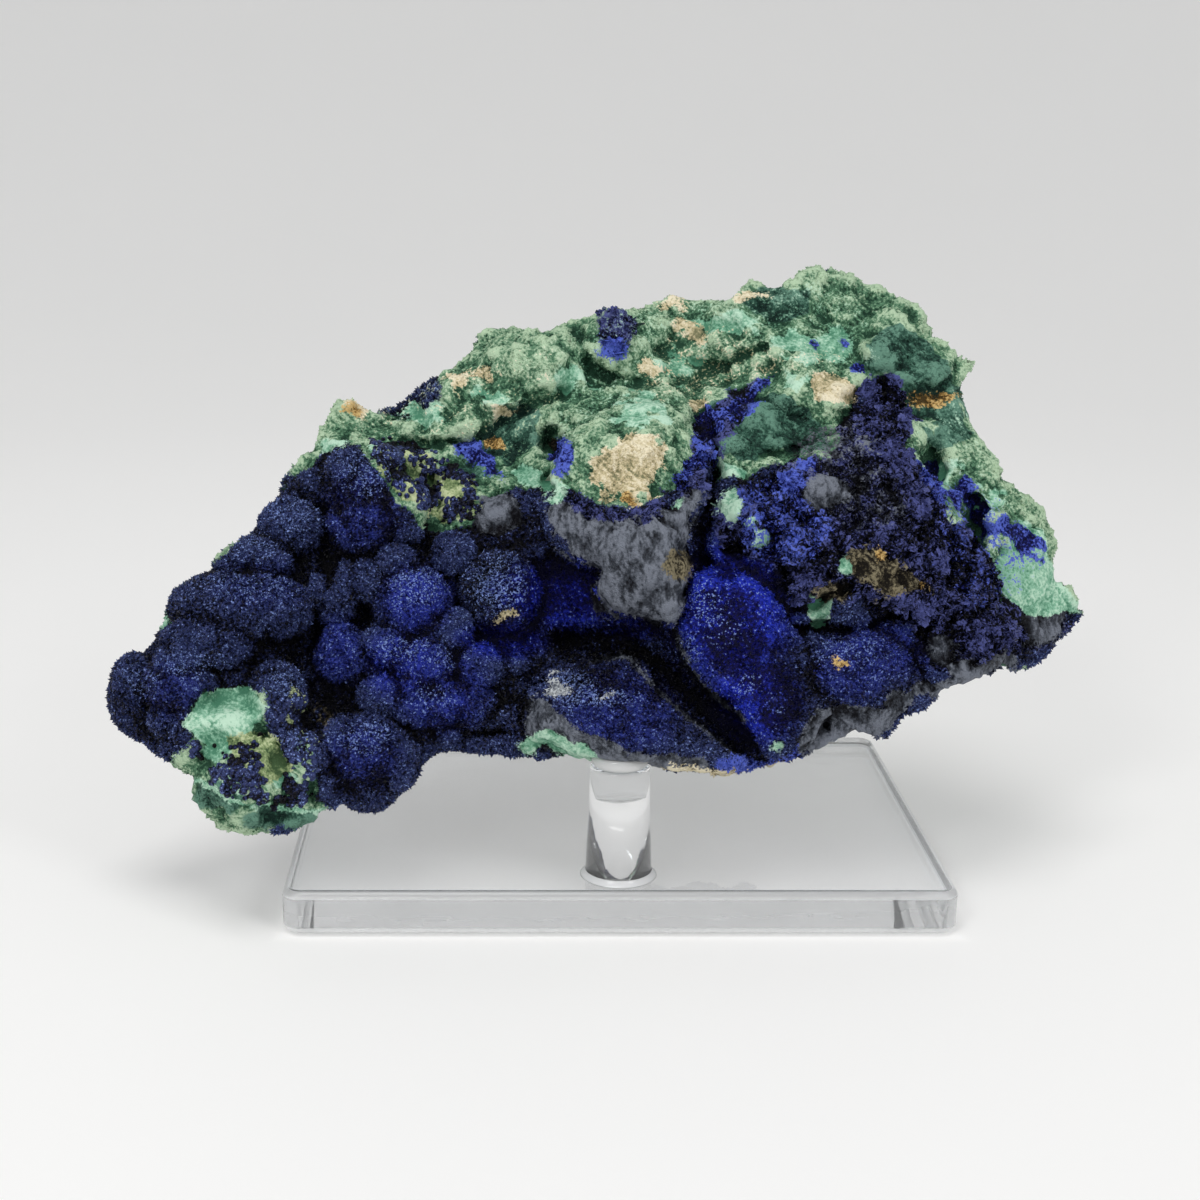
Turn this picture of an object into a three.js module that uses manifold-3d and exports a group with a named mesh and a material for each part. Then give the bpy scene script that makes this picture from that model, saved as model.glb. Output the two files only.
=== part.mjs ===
// Azurite and malachite specimen on a clear acrylic stand.
// Millimetres, +Z up, the front towards -Y. The origin is the middle of the plate's underside.

import * as THREE from 'three';
import { mergeVertices } from 'three/addons/utils/BufferGeometryUtils.js';
import { ImprovedNoise } from 'three/addons/math/ImprovedNoise.js';
import Module from 'manifold-3d';

const wasm = await Module();
wasm.setup();

// Driving sizes of the stand

const PLATE_WIDTH = 127;
const PLATE_DEPTH = 88.9;
const PLATE_THICKNESS = 8.5;
const PLATE_CORNER_RADIUS = 3.5;
const PLATE_EDGE_RADIUS = 2.2;
const POST_FOOT_RADIUS = 6.35;
const POST_HEAD_RADIUS = 5.6;
const POST_FROM_FRONT_EDGE = 9.25;
const POST_HEAD_HEIGHT = 30.5;
const PAD_RADIUS = 5.4;
const SEAT_HEIGHT = 33;
const SEAT_CLEARANCE = 0.6;
const BEAD_WIDTH = 0.9;
const BEAD_HEIGHT = 0.7;
const PIECE_GAP = 0.05;
const ROUND_SIDES = 24;

const postPlace = new THREE.Vector2(0, POST_FROM_FRONT_EDGE - PLATE_DEPTH / 2);

// The specimen is laid out on an upright sheet that faces a viewing point in front of it.
// Layout vectors are (across, back, up): millimetres to the right on the sheet, behind it and
// up it. A point behind the sheet lies on the line of sight through its place on the sheet.

const VIEWING_POINT = new THREE.Vector3(-22, -362.85, 150.95);
const SIGHT_PITCH = THREE.MathUtils.degToRad(15.09);
const SHEET_DISTANCE = 370;

const sheetUp = new THREE.Vector3(0, Math.sin(SIGHT_PITCH), Math.cos(SIGHT_PITCH));
const sightLine = new THREE.Vector3(0, Math.cos(SIGHT_PITCH), -Math.sin(SIGHT_PITCH));

// The specimen's outline on the sheet, [across, up], clockwise from the left tip.

const SPECIMEN_OUTLINE = [
  [-77, -22], [-76, -17], [-70, -10], [-67.5, -4], [-64, 2], [-58, 6],
  [-54, 10], [-49, 14], [-46, 20], [-42, 26], [-38, 31], [-34, 38.5],
  [-31.5, 40], [-26, 38], [-21.5, 40], [-18, 43.5], [-14, 43.5], [-7, 48],
  [-4, 51.5], [-1, 53], [11, 55], [19, 57.5], [25, 58], [30, 60],
  [34, 63], [40, 62], [48.5, 62], [63, 65], [67, 67], [69, 66.5],
  [71.5, 63], [82, 57], [90, 50], [94, 43], [94, 38], [97.5, 29.5],
  [104, 21], [108, 15.5], [110, 9], [110.5, 4], [113.5, 3.5], [117, -3],
  [108, -9.5], [94.5, -16], [84, -21], [79.5, -22], [75, -26.5], [70, -26.5],
  [61, -31], [52, -34], [44.5, -35.5], [37.5, -33.5], [33, -32.5], [24, -33.5],
  [16, -31], [5.5, -30.5], [-7, -29], [-13, -30], [-18, -33], [-30, -38],
  [-38, -44], [-43, -46], [-55.5, -45], [-58, -41], [-65.5, -31.5], [-76, -25.5],
];

// Where the front surface lies: [across, up, back]. Between these places it is blended.

const FRONT_PLACES = [
  [-73, -20, -16], [-62, -18, -26], [-52, 0, -22], [-45, -32, -27], [-45, 13, -13],
  [-40, 26, -7], [-31, 37, 2], [-27, 19, -15], [-33, 2, -16], [-30, -16, -19],
  [-27, -32, -25], [-16, 0, -19], [-15, -20, -21], [-17, 40, 7], [-8, 30, 0],
  [-5, 14, -13], [-1, 0, -18], [-1, -17, -18], [-5, -28, -20], [11, 0, -12],
  [20, -8, -13], [22, -24, -24], [12, -30, -22], [26, 8, -20], [24, 30, -11],
  [22, 46, 6], [34, 58, 17], [40, -6, -18], [46, -22, -22], [45, 14, -15],
  [42, 30, -5], [48, 48, 10], [58, 4, -19], [60, -24, -18], [60, 22, -13],
  [62, 40, 1], [66, 58, 15], [73, -14, -20], [74, 8, -17], [76, 26, -9],
  [80, 44, 7], [88, -8, -16], [90, 12, -9], [90, 32, 2], [101, 0, -5],
  [103, 14, 2], [112, -2, 4],
];
const FRONT_BLEND_RADIUS = 9;

// Where the back surface lies: [across, up, back].

const BACK_PLACES = [
  [-70, -18, 2], [-50, -30, 0], [-46, 0, 16], [-26, -20, 17], [-24, 20, 27],
  [0, -12, 23], [4, 24, 34], [26, -16, 29], [32, 30, 38], [52, -12, 31],
  [62, 34, 37], [84, 4, 26], [86, 34, 30], [106, 2, 15],
];
const BACK_BLEND_RADIUS = 20;

const FRONT_EDGE_RADIUS = 8;
const BACK_EDGE_RADIUS = 22;
const LOWEST_SEAM = -24;
const SEAM_RISE_PER_UP = 0.38;
const THINNEST_EDGE = 3;
const LOWEST_UP = -46;

// Broken faces at the back: a place (across, back, up) on each and the way it faces.

const BREAKS = {
  backLeft: { through: [-22, 19, 8], facing: [-0.5, 0.84, 0.1] },
  backRight: { through: [82, 27, 5], facing: [0.5, 0.85, -0.1] },
  lowBack: { through: [34, 20, -14], facing: [0.05, 0.76, -0.65] },
  middleBack: { through: [30, 32, 20], facing: [-0.12, 0.99, -0.05] },
  highBack: { through: [62, 33, 46], facing: [0.12, 0.82, 0.56] },
  leftTopBack: { through: [-8, 28, 34], facing: [-0.3, 0.72, 0.62] },
  leftFoot: { through: [-46, 2, -24], facing: [-0.2, 0.82, -0.53] },
};

// Uneven ground of the stone: how high its bumps are and how far apart.

const RUGGED_LAYERS = [
  { height: 3, length: 15 },
  { height: 1.7, length: 6.5 },
];

// The middle of the body, its half sizes as (across, back, up) and how finely it is faceted.

const BODY_MIDDLE = new THREE.Vector3(22, 4, 8);
const BODY_HALF_SIZES = new THREE.Vector3(104, 38, 60);
const BODY_DETAIL = 13;

// Rounded lobes and knobs that stand out of the front: [across, up, half width, half height].

const LOBES = {
  leftTip: [-71.5, -19.5, 6.5, 6.5],
  leftShoulder: [-61.5, -17, 7.5, 7],
  lowerShelf: [-57, -9, 9, 6],
  broadShelf: [-51, 0, 13, 7],
  besideGreenPatch: [-44.5, -21, 6.5, 8.5],
  greenPatch: [-55, -23.5, 8, 6],
  greenFoot: [-52, -36, 10, 10],
  greenFlank: [-61, -27, 7, 8],
  lowerCluster: [-41, -32, 6.5, 7],
  lowerBall: [-28, -31, 9, 8.5],
  upperLeftBall: [-50, 8, 7.5, 5.5],
  upperBall: [-42, 14.5, 6.8, 6.5],
  bigBall: [-27, 20.5, 9, 11],
  middleBall: [-17, 0.5, 8, 7.5],
  shelfEdge: [-34, 0, 4.2, 6.5],
  leftOfMiddle: [-33, -11, 5.5, 6.5],
  belowMiddle: [-20, -12.5, 7, 6],
  clusterFoot: [-14.5, -21.5, 6.5, 6],
  clusterLeft: [-24, -20, 5, 4.5],
  clusterRight: [-12, -14.5, 5, 5],
  clusterEnd: [-6, -21.5, 5, 4.5],
  apronBall: [-6, -11.5, 4.5, 4.2],
  recessBall: [-28, 5.5, 4.6, 4.4],
  recessKnob: [-21.5, 8.5, 3.8, 3.2],
  lowerBallFoot: [-26, -35.5, 5, 4.5],
  speckledBall: [-0.5, 1.5, 8, 8],
  pebble: [-10, 9.2, 3.6, 3.6],
  crustedKnob: [50, 15.5, 6.5, 7],
  rightLobe: [70, -14.5, 11.5, 8.5],
  rosette: [94.5, -8, 7, 7],
  cuttingKnob: [68.4, -2.2, 4.4, 4.2],
  darkGreenBall: [51.5, 34.5, 5, 4.6],
  greenKnuckle: [6, 46, 9, 7],
  greenFinger: [-7.4, 35, 3.4, 3.2],
  greenThumb: [-12, 40, 4.2, 3.8],
  blueTuft: [22, 53, 3.6, 5],
};
const LOBE_PROUD_SHARE = 0.5;
const WIDE_LOBE = 9.4;

// Broken slabs that stand proud of the front surface and follow it. The outline is [across, up].

const LEDGES = {
  greyFlap: {
    outline: [
      [8, 18.5], [10, 12], [16, 7], [20, 6], [18, 2], [20, -2], [24, -3.5], [29, -4],
      [34, -5.5], [36, 0], [38, 6], [35.5, 10], [38, 16], [41, 22], [40, 32], [36, 38],
      [29, 41], [21, 39], [13, 34], [9, 27],
    ],
    middle: [26, 18],
    proud: 7,
    flatShare: 0.86,
  },
  beanLobe: {
    outline: [
      [4.5, -24], [6, -19], [11, -15], [18, -14], [22, -11], [26, -12], [30, -17],
      [36, -22.5], [41, -27.5], [38, -32.5], [30, -32.5], [20, -32], [12, -30.5], [6, -29],
    ],
    middle: [22, -22.5],
    proud: 8,
    flatShare: 0.55,
  },
  royalMass: {
    outline: [
      [34, -7], [36, -12], [39.5, -16], [42.5, -19], [48, -23], [54, -31], [62, -28],
      [67, -20], [59, -9], [52, 2], [44, 6], [38, 2],
    ],
    middle: [50, -12],
    proud: 4,
    flatShare: 0.75,
  },
  bladedCrust: {
    outline: [
      [58, -1], [56, 8], [55, 22], [60, 32], [72, 34], [82, 30], [90, 20], [97, 10],
      [98, -2], [88, -4], [78, -1], [68, 3],
    ],
    middle: [76, 14],
    proud: 3.5,
    flatShare: 0.85,
  },
};
const LEDGE_ROOT_DEPTH = 6;
const LEDGE_SIDES = 26;

// Hollows: [across, up, back] of the middle and half sizes [across, up, back].

const HOLLOWS = {
  behindFlap: { middle: [45, 11, -24], sizes: [6, 7.5, 12] },
  belowKnob: { middle: [65, -6, -24], sizes: [6, 2.6, 10] },
  crownHollow: { middle: [55, 58.5, 12.5], sizes: [6.5, 4, 5.5] },
  upperSeam: { middle: [86.5, 28, -2], sizes: [3, 5.5, 8] },
  lowerSeam: { middle: [94.5, 15, -4], sizes: [3, 7, 8] },
  leftRecess: { middle: [-35, 9, -18], sizes: [3.4, 7, 9] },
  greenPocket: { middle: [11, 31, -4], sizes: [4, 5, 10] },
  darkHole: { middle: [8, 22, -14], sizes: [3, 2.2, 7] },
};
const HOLLOW_DETAIL = 1;
const SLIVER_TOLERANCE = 0.1;

const noise = new ImprovedNoise();

// Distance from a place on the sheet to the outline, positive inside it.
function outlineDistance(across, up, outline) {
  let nearest = Infinity;
  let inside = false;
  for (let i = 0, j = outline.length - 1; i < outline.length; j = i++) {
    const [ax, ay] = outline[i];
    const [bx, by] = outline[j];
    const edgeX = bx - ax;
    const edgeY = by - ay;
    const along = ((across - ax) * edgeX + (up - ay) * edgeY) / (edgeX * edgeX + edgeY * edgeY);
    const t = THREE.MathUtils.clamp(along, 0, 1);
    nearest = Math.min(nearest, Math.hypot(across - ax - t * edgeX, up - ay - t * edgeY));
    const crosses = ay > up !== by > up;
    if (crosses && across < (edgeX * (up - ay)) / edgeY + ax) inside = !inside;
  }
  return inside ? nearest : -nearest;
}

// Blends the backs of the listed places by how near each is.
function blendedBack(across, up, places, radius) {
  let sum = 0;
  let weights = 0;
  for (const [placeAcross, placeUp, back] of places) {
    const distance = Math.hypot(across - placeAcross, up - placeUp) / radius;
    const weight = Math.exp(-distance * distance) + 1e-6 / (1 + distance * distance);
    sum += weight * back;
    weights += weight;
  }
  return sum / weights;
}

function frontBack(across, up) {
  return blendedBack(across, up, FRONT_PLACES, FRONT_BLEND_RADIUS);
}

// The front and back surfaces at a place on the sheet. They meet at the outline.
function surfacesAt(across, up) {
  const depthInside = Math.max(0, outlineDistance(across, up, SPECIMEN_OUTLINE));
  const frontFull = frontBack(across, up);
  const backFull = blendedBack(across, up, BACK_PLACES, BACK_BLEND_RADIUS);
  const slopingSeam = LOWEST_SEAM + (up - LOWEST_UP) * SEAM_RISE_PER_UP;
  const seam = Math.max(slopingSeam, frontFull + THINNEST_EDGE);
  const frontShare = Math.min(1, depthInside / FRONT_EDGE_RADIUS);
  const backShare = Math.min(1, depthInside / BACK_EDGE_RADIUS);
  const front = seam - (seam - frontFull) * Math.sqrt(1 - (1 - frontShare) ** 2);
  const back = seam + (Math.max(backFull, seam + THINNEST_EDGE) - seam) * Math.sin((backShare * Math.PI) / 2);
  return { front, back };
}

// Positive outside the body, negative inside it.
function bodyField(point) {
  const { front, back } = surfacesAt(point.x, point.z);
  let outside = -outlineDistance(point.x, point.z, SPECIMEN_OUTLINE);
  outside = Math.max(outside, front - point.y, point.y - back);
  for (const { through, facing } of Object.values(BREAKS)) {
    const [across, behind, up] = facing;
    const past = (point.x - through[0]) * across + (point.y - through[1]) * behind
      + (point.z - through[2]) * up;
    outside = Math.max(outside, past);
  }
  for (const { height, length } of RUGGED_LAYERS) {
    outside -= height * noise.noise(point.x / length, point.y / length, point.z / length);
  }
  return outside;
}

// A geometry's bare shape, with the vertices that lie at one place merged.
function mergedShape(geometry) {
  const plain = geometry.clone();
  plain.deleteAttribute('normal');
  plain.deleteAttribute('uv');
  return mergeVertices(plain, 1e-4);
}

function solidFrom(geometry) {
  const merged = mergedShape(geometry);
  const vertProperties = new Float32Array(merged.attributes.position.array);
  const triVerts = new Uint32Array(merged.index.array);
  return new wasm.Manifold(new wasm.Mesh({ numProp: 3, vertProperties, triVerts }));
}

// Joins and cuts leave slivers along their edges, thinner than the tolerance.
function withoutSlivers(solid) {
  return solid.asOriginal().simplify(SLIVER_TOLERANCE);
}

function geometryFrom(solid) {
  const mesh = solid.getMesh();
  const geometry = new THREE.BufferGeometry();
  geometry.setAttribute('position', new THREE.BufferAttribute(mesh.vertProperties, 3));
  geometry.setIndex(new THREE.BufferAttribute(mesh.triVerts, 1));
  return geometry;
}

// Moves every vertex of a geometry by a function of its place.
function reshape(geometry, moved) {
  const position = geometry.attributes.position;
  const point = new THREE.Vector3();
  for (let i = 0; i < position.count; i++) {
    point.fromBufferAttribute(position, i);
    moved(point);
    position.setXYZ(i, point.x, point.y, point.z);
  }
  return geometry;
}

// Pushes a faceted ball in along its radii until each vertex meets the body's outermost surface.
function makeBody() {
  const ball = mergedShape(new THREE.IcosahedronGeometry(1, BODY_DETAIL));
  const farthest = 1.3;
  const steps = 70;
  const halvings = 12;
  const probe = new THREE.Vector3();
  reshape(ball, (point) => {
    const ray = point.clone().multiply(BODY_HALF_SIZES);
    let outer = farthest;
    let inner = 0;
    for (let i = 1; i < steps; i++) {
      const reach = farthest * (1 - i / steps);
      probe.copy(BODY_MIDDLE).addScaledVector(ray, reach);
      if (bodyField(probe) < 0) {
        inner = reach;
        break;
      }
      outer = reach;
    }
    for (let i = 0; i < halvings; i++) {
      const middle = (outer + inner) / 2;
      probe.copy(BODY_MIDDLE).addScaledVector(ray, middle);
      if (bodyField(probe) < 0) inner = middle;
      else outer = middle;
    }
    point.copy(BODY_MIDDLE).addScaledVector(ray, inner);
  });
  return solidFrom(ball);
}

function makeLobe([across, up, halfWidth, halfHeight]) {
  const halfDepth = (halfWidth + halfHeight) / 2;
  const proud = LOBE_PROUD_SHARE * halfDepth;
  const { front } = surfacesAt(across, up);
  const lobe = new THREE.IcosahedronGeometry(1, halfDepth > WIDE_LOBE ? 2 : 1);
  lobe.scale(halfWidth, halfDepth, halfHeight);
  lobe.translate(across, front - proud + halfDepth, up);
  return solidFrom(lobe);
}

// How far the outline lies from the ledge's middle in the direction (x, y).
function outlineReach(middle, x, y, outline) {
  let reach = 0;
  for (let i = 0, j = outline.length - 1; i < outline.length; j = i++) {
    const ax = outline[j][0] - middle[0];
    const ay = outline[j][1] - middle[1];
    const edgeX = outline[i][0] - outline[j][0];
    const edgeY = outline[i][1] - outline[j][1];
    const across = x * edgeY - y * edgeX;
    const along = (y * ax - x * ay) / across;
    const distance = (ax * edgeY - ay * edgeX) / across;
    if (along >= 0 && along <= 1 && distance > reach) reach = distance;
  }
  return reach;
}

// A ledge is turned as a low round stud, then spread out to its outline and laid on the front.
function makeLedge({ outline, middle, proud, flatShare }) {
  const stud = new THREE.LatheGeometry([
    new THREE.Vector2(0, -LEDGE_ROOT_DEPTH),
    new THREE.Vector2(1, -LEDGE_ROOT_DEPTH),
    new THREE.Vector2(1, 0.2 * proud),
    new THREE.Vector2((1 + flatShare) / 2, 0.8 * proud),
    new THREE.Vector2(flatShare, proud),
    new THREE.Vector2(flatShare / 2, proud),
    new THREE.Vector2(0, proud),
  ], LEDGE_SIDES);
  reshape(stud, (point) => {
    const share = Math.hypot(point.x, point.z);
    const x = share > 0 ? point.x / share : 0;
    const y = share > 0 ? -point.z / share : 0;
    const reach = share > 0 ? outlineReach(middle, x, y, outline) : 0;
    const across = middle[0] + x * reach * share;
    const up = middle[1] + y * reach * share;
    point.set(across, frontBack(across, up) - point.y, up);
  });
  return solidFrom(stud);
}

function makeHollow({ middle: [across, up, back], sizes: [halfWidth, halfHeight, halfDepth] }) {
  const hollow = new THREE.IcosahedronGeometry(1, HOLLOW_DETAIL);
  hollow.scale(halfWidth, halfDepth, halfHeight);
  hollow.translate(across, back, up);
  return solidFrom(hollow);
}

function placeInWorld(point) {
  const spread = (SHEET_DISTANCE + point.y) / SHEET_DISTANCE;
  const { x: across, z: up } = point;
  point.set(across * spread, 0, 0);
  point.addScaledVector(sheetUp, up * spread);
  point.addScaledVector(sightLine, SHEET_DISTANCE * spread);
  point.add(VIEWING_POINT);
}

function roundBar(radius, bottom, top) {
  const bar = new THREE.CylinderGeometry(radius, radius, top - bottom, ROUND_SIDES);
  bar.rotateX(Math.PI / 2);
  bar.translate(postPlace.x, postPlace.y, (top + bottom) / 2);
  return bar;
}

// The stone: body, lobes and ledges joined in one solid, hollows cut, and a flat seat for the pad.
function makeSpecimen() {
  const grown = [
    makeBody(),
    ...Object.values(LOBES).map(makeLobe),
    ...Object.values(LEDGES).map(makeLedge),
  ];
  const hollows = Object.values(HOLLOWS).map(makeHollow);
  const laidOut = wasm.Manifold.union(grown).subtract(wasm.Manifold.union(hollows));
  const inWorld = solidFrom(reshape(geometryFrom(withoutSlivers(laidOut)), placeInWorld));
  const seat = roundBar(PAD_RADIUS + SEAT_CLEARANCE, SEAT_HEIGHT - 20, SEAT_HEIGHT);
  return geometryFrom(withoutSlivers(inWorld.subtract(solidFrom(seat))));
}

function makePlate() {
  const inset = PLATE_EDGE_RADIUS;
  const halfWidth = PLATE_WIDTH / 2 - inset;
  const halfDepth = PLATE_DEPTH / 2 - inset;
  const corner = PLATE_CORNER_RADIUS - inset;
  const outline = new THREE.Shape();
  outline.absarc(halfWidth - corner, halfDepth - corner, corner, 0, Math.PI / 2);
  outline.absarc(corner - halfWidth, halfDepth - corner, corner, Math.PI / 2, Math.PI);
  outline.absarc(corner - halfWidth, corner - halfDepth, corner, Math.PI, 1.5 * Math.PI);
  outline.absarc(halfWidth - corner, corner - halfDepth, corner, 1.5 * Math.PI, 2 * Math.PI);
  const plate = new THREE.ExtrudeGeometry(outline, {
    depth: PLATE_THICKNESS - 2 * inset,
    bevelEnabled: true,
    bevelThickness: inset,
    bevelSize: inset,
    bevelSegments: 3,
    curveSegments: 3,
  });
  plate.translate(0, 0, inset);
  return plate;
}

function makePost() {
  const edge = 0.4;
  const bottom = PLATE_THICKNESS + PIECE_GAP;
  const profile = [
    new THREE.Vector2(0, bottom),
    new THREE.Vector2(POST_FOOT_RADIUS, bottom),
    new THREE.Vector2(POST_HEAD_RADIUS, POST_HEAD_HEIGHT - edge),
    new THREE.Vector2(POST_HEAD_RADIUS - edge, POST_HEAD_HEIGHT),
    new THREE.Vector2(0, POST_HEAD_HEIGHT),
  ];
  return turned(profile);
}

function turned(profile) {
  const geometry = new THREE.LatheGeometry(profile, ROUND_SIDES);
  geometry.rotateX(Math.PI / 2);
  geometry.translate(postPlace.x, postPlace.y, 0);
  return geometry;
}

function makeBead() {
  const inner = POST_FOOT_RADIUS + PIECE_GAP;
  const bottom = PLATE_THICKNESS + PIECE_GAP;
  const profile = [
    new THREE.Vector2(inner, bottom),
    new THREE.Vector2(inner + BEAD_WIDTH, bottom),
    new THREE.Vector2(inner + BEAD_WIDTH * 0.6, bottom + BEAD_HEIGHT * 0.7),
    new THREE.Vector2(inner, bottom + BEAD_HEIGHT),
    new THREE.Vector2(inner, bottom),
  ];
  return turned(profile);
}

function standing(name, geometry, look) {
  const mesh = new THREE.Mesh(geometry, new THREE.MeshStandardMaterial(look));
  mesh.name = name;
  return mesh;
}

const ACRYLIC_LOOK = { color: 0xf2f6f8, roughness: 0.04, metalness: 0, transparent: true, opacity: 0.35 };
const GLUE_LOOK = { color: 0xe8ebea, roughness: 0.25, metalness: 0, transparent: true, opacity: 0.6 };
const STONE_LOOK = { color: 0x232a78, roughness: 0.7, metalness: 0, flatShading: true };

const group = new THREE.Group();
group.name = 'azurite_on_stand';
group.add(standing('specimen', makeSpecimen(), STONE_LOOK));
group.add(standing('stand_plate', makePlate(), ACRYLIC_LOOK));
group.add(standing('stand_post', makePost(), ACRYLIC_LOOK));
group.add(standing('adhesive_pad', roundBar(PAD_RADIUS, POST_HEAD_HEIGHT + PIECE_GAP, SEAT_HEIGHT), GLUE_LOOK));
group.add(standing('post_foot_bead', makeBead(), GLUE_LOOK));

export default group;
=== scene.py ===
"""Azurite and malachite specimen on a clear acrylic stand.

The stone is laid out in millimetres on an upright sheet that faces the viewing point, as
(across, back, up), then placed in the world. Meshes are in metres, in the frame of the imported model.
"""

import logging
import math
from dataclasses import dataclass, field
from enum import Enum

import bpy
import numpy as np
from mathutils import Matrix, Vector


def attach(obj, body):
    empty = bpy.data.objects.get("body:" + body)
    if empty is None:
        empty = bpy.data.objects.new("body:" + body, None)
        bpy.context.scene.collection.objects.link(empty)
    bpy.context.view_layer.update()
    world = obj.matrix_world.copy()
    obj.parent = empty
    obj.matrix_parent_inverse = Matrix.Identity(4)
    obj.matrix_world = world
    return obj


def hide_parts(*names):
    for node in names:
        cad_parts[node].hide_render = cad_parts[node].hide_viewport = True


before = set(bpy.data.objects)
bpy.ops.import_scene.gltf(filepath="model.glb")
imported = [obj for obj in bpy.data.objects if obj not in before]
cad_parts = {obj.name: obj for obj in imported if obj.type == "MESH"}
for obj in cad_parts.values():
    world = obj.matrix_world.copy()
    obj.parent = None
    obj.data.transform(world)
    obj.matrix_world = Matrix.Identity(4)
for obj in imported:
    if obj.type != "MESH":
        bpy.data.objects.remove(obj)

Array = np.ndarray
Colour = tuple[float, float, float]
Place = tuple[float, ...]

log = logging.getLogger("specimen")

MM = 0.001
FAR = 1e9


class Mineral(Enum):
    """Minerals on the stone, each with a mask of its own on the mesh; one of them is painted glint, not a
    mineral.
    """

    AZURITE = "azurite"
    BLADED = "bladed"
    FRACTURE = "fracture"
    # Not a mineral: pale specks painted as glints on the druse.
    FROST = "frost"
    MINT = "mint"
    DARK_GREEN = "dark_green"
    OLIVE = "olive"
    CREAM = "cream"
    OCHRE = "ochre"
    BRIGHT = "bright"
    MATRIX = "matrix"


class Pattern(Enum):
    """How a mineral's colours run: in soft clouds, in fine specks or along fibres."""

    CLOUDS = "clouds"
    SPECKS = "specks"
    FIBRES = "fibres"


# The specimen's outline on the sheet, (across, up), clockwise from the left tip.

SPECIMEN_OUTLINE: list[Place] = [
    (-77, -22), (-76, -17), (-70, -10), (-67.5, -4), (-64, 2), (-58, 6), (-54, 10), (-49, 14),
    (-46, 20), (-42, 26), (-38, 31), (-34, 38.5), (-31.5, 40), (-26, 38), (-21.5, 40), (-18, 43.5),
    (-14, 43.5), (-7, 48), (-4, 51.5), (-1, 53), (11, 55), (19, 57.5), (25, 58), (30, 60),
    (34, 63), (40, 62), (48.5, 62), (63, 65), (67, 67), (69, 66.5), (71.5, 63), (82, 57),
    (90, 50), (94, 43), (94, 38), (97.5, 29.5), (104, 21), (108, 15.5), (110, 9), (110.5, 4),
    (113.5, 3.5), (117, -3), (108, -9.5), (94.5, -16), (84, -21), (79.5, -22), (75, -26.5),
    (70, -26.5), (61, -31), (52, -34), (44.5, -35.5), (37.5, -33.5), (33, -32.5), (24, -33.5),
    (16, -31), (5.5, -30.5), (-7, -29), (-13, -30), (-18, -33), (-30, -38), (-38, -44), (-43, -46),
    (-55.5, -45), (-58, -41), (-65.5, -31.5), (-76, -25.5),
]

# Where the front surface lies, (across, up, back). Between these places it is blended.

FRONT_PLACES: list[Place] = [
    (-73, -20, -16), (-62, -18, -26), (-52, 0, -22), (-45, -32, -27), (-45, 13, -13),
    (-40, 26, -7), (-31, 37, 2), (-27, 19, -15), (-33, 2, -16), (-30, -16, -19),
    (-27, -32, -25), (-16, 0, -19), (-15, -20, -21), (-17, 40, 7), (-8, 30, 0),
    (-5, 14, -13), (-1, 0, -18), (-1, -17, -18), (-5, -28, -20), (11, 0, -12),
    (20, -8, -13), (22, -24, -24), (12, -30, -22), (26, 8, -20), (24, 30, -11),
    (22, 46, 6), (34, 58, 17), (40, -6, -18), (46, -22, -22), (45, 14, -15),
    (42, 30, -5), (48, 48, 10), (58, 4, -19), (60, -24, -18), (60, 22, -13),
    (62, 40, 1), (66, 58, 15), (73, -14, -20), (74, 8, -17), (76, 26, -9),
    (80, 44, 7), (88, -8, -16), (90, 12, -9), (90, 32, 2), (101, 0, -5),
    (103, 14, 2), (112, -2, 4),
]

# Where the back surface lies, (across, up, back).

BACK_PLACES: list[Place] = [
    (-70, -18, 2), (-50, -30, 0), (-46, 0, 16), (-26, -20, 17), (-24, 20, 27),
    (0, -12, 23), (4, 24, 34), (26, -16, 29), (32, 30, 38), (52, -12, 31),
    (62, 34, 37), (84, 4, 26), (86, 34, 30), (106, 2, 15),
]

# Broken faces at the back: a place on each, (across, back, up), and the way it faces.

BREAKS: list[tuple[Place, Place]] = [
    ((-22, 19, 8), (-0.5, 0.84, 0.1)),
    ((82, 27, 5), (0.5, 0.85, -0.1)),
    ((34, 20, -14), (0.05, 0.76, -0.65)),
    ((30, 32, 20), (-0.12, 0.99, -0.05)),
    ((62, 33, 46), (0.12, 0.82, 0.56)),
    ((-8, 28, 34), (-0.3, 0.72, 0.62)),
    ((-46, 2, -24), (-0.2, 0.82, -0.53)),
]

# Rounded lobes that stand out of the front, (across, up, half width, half height).

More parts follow.
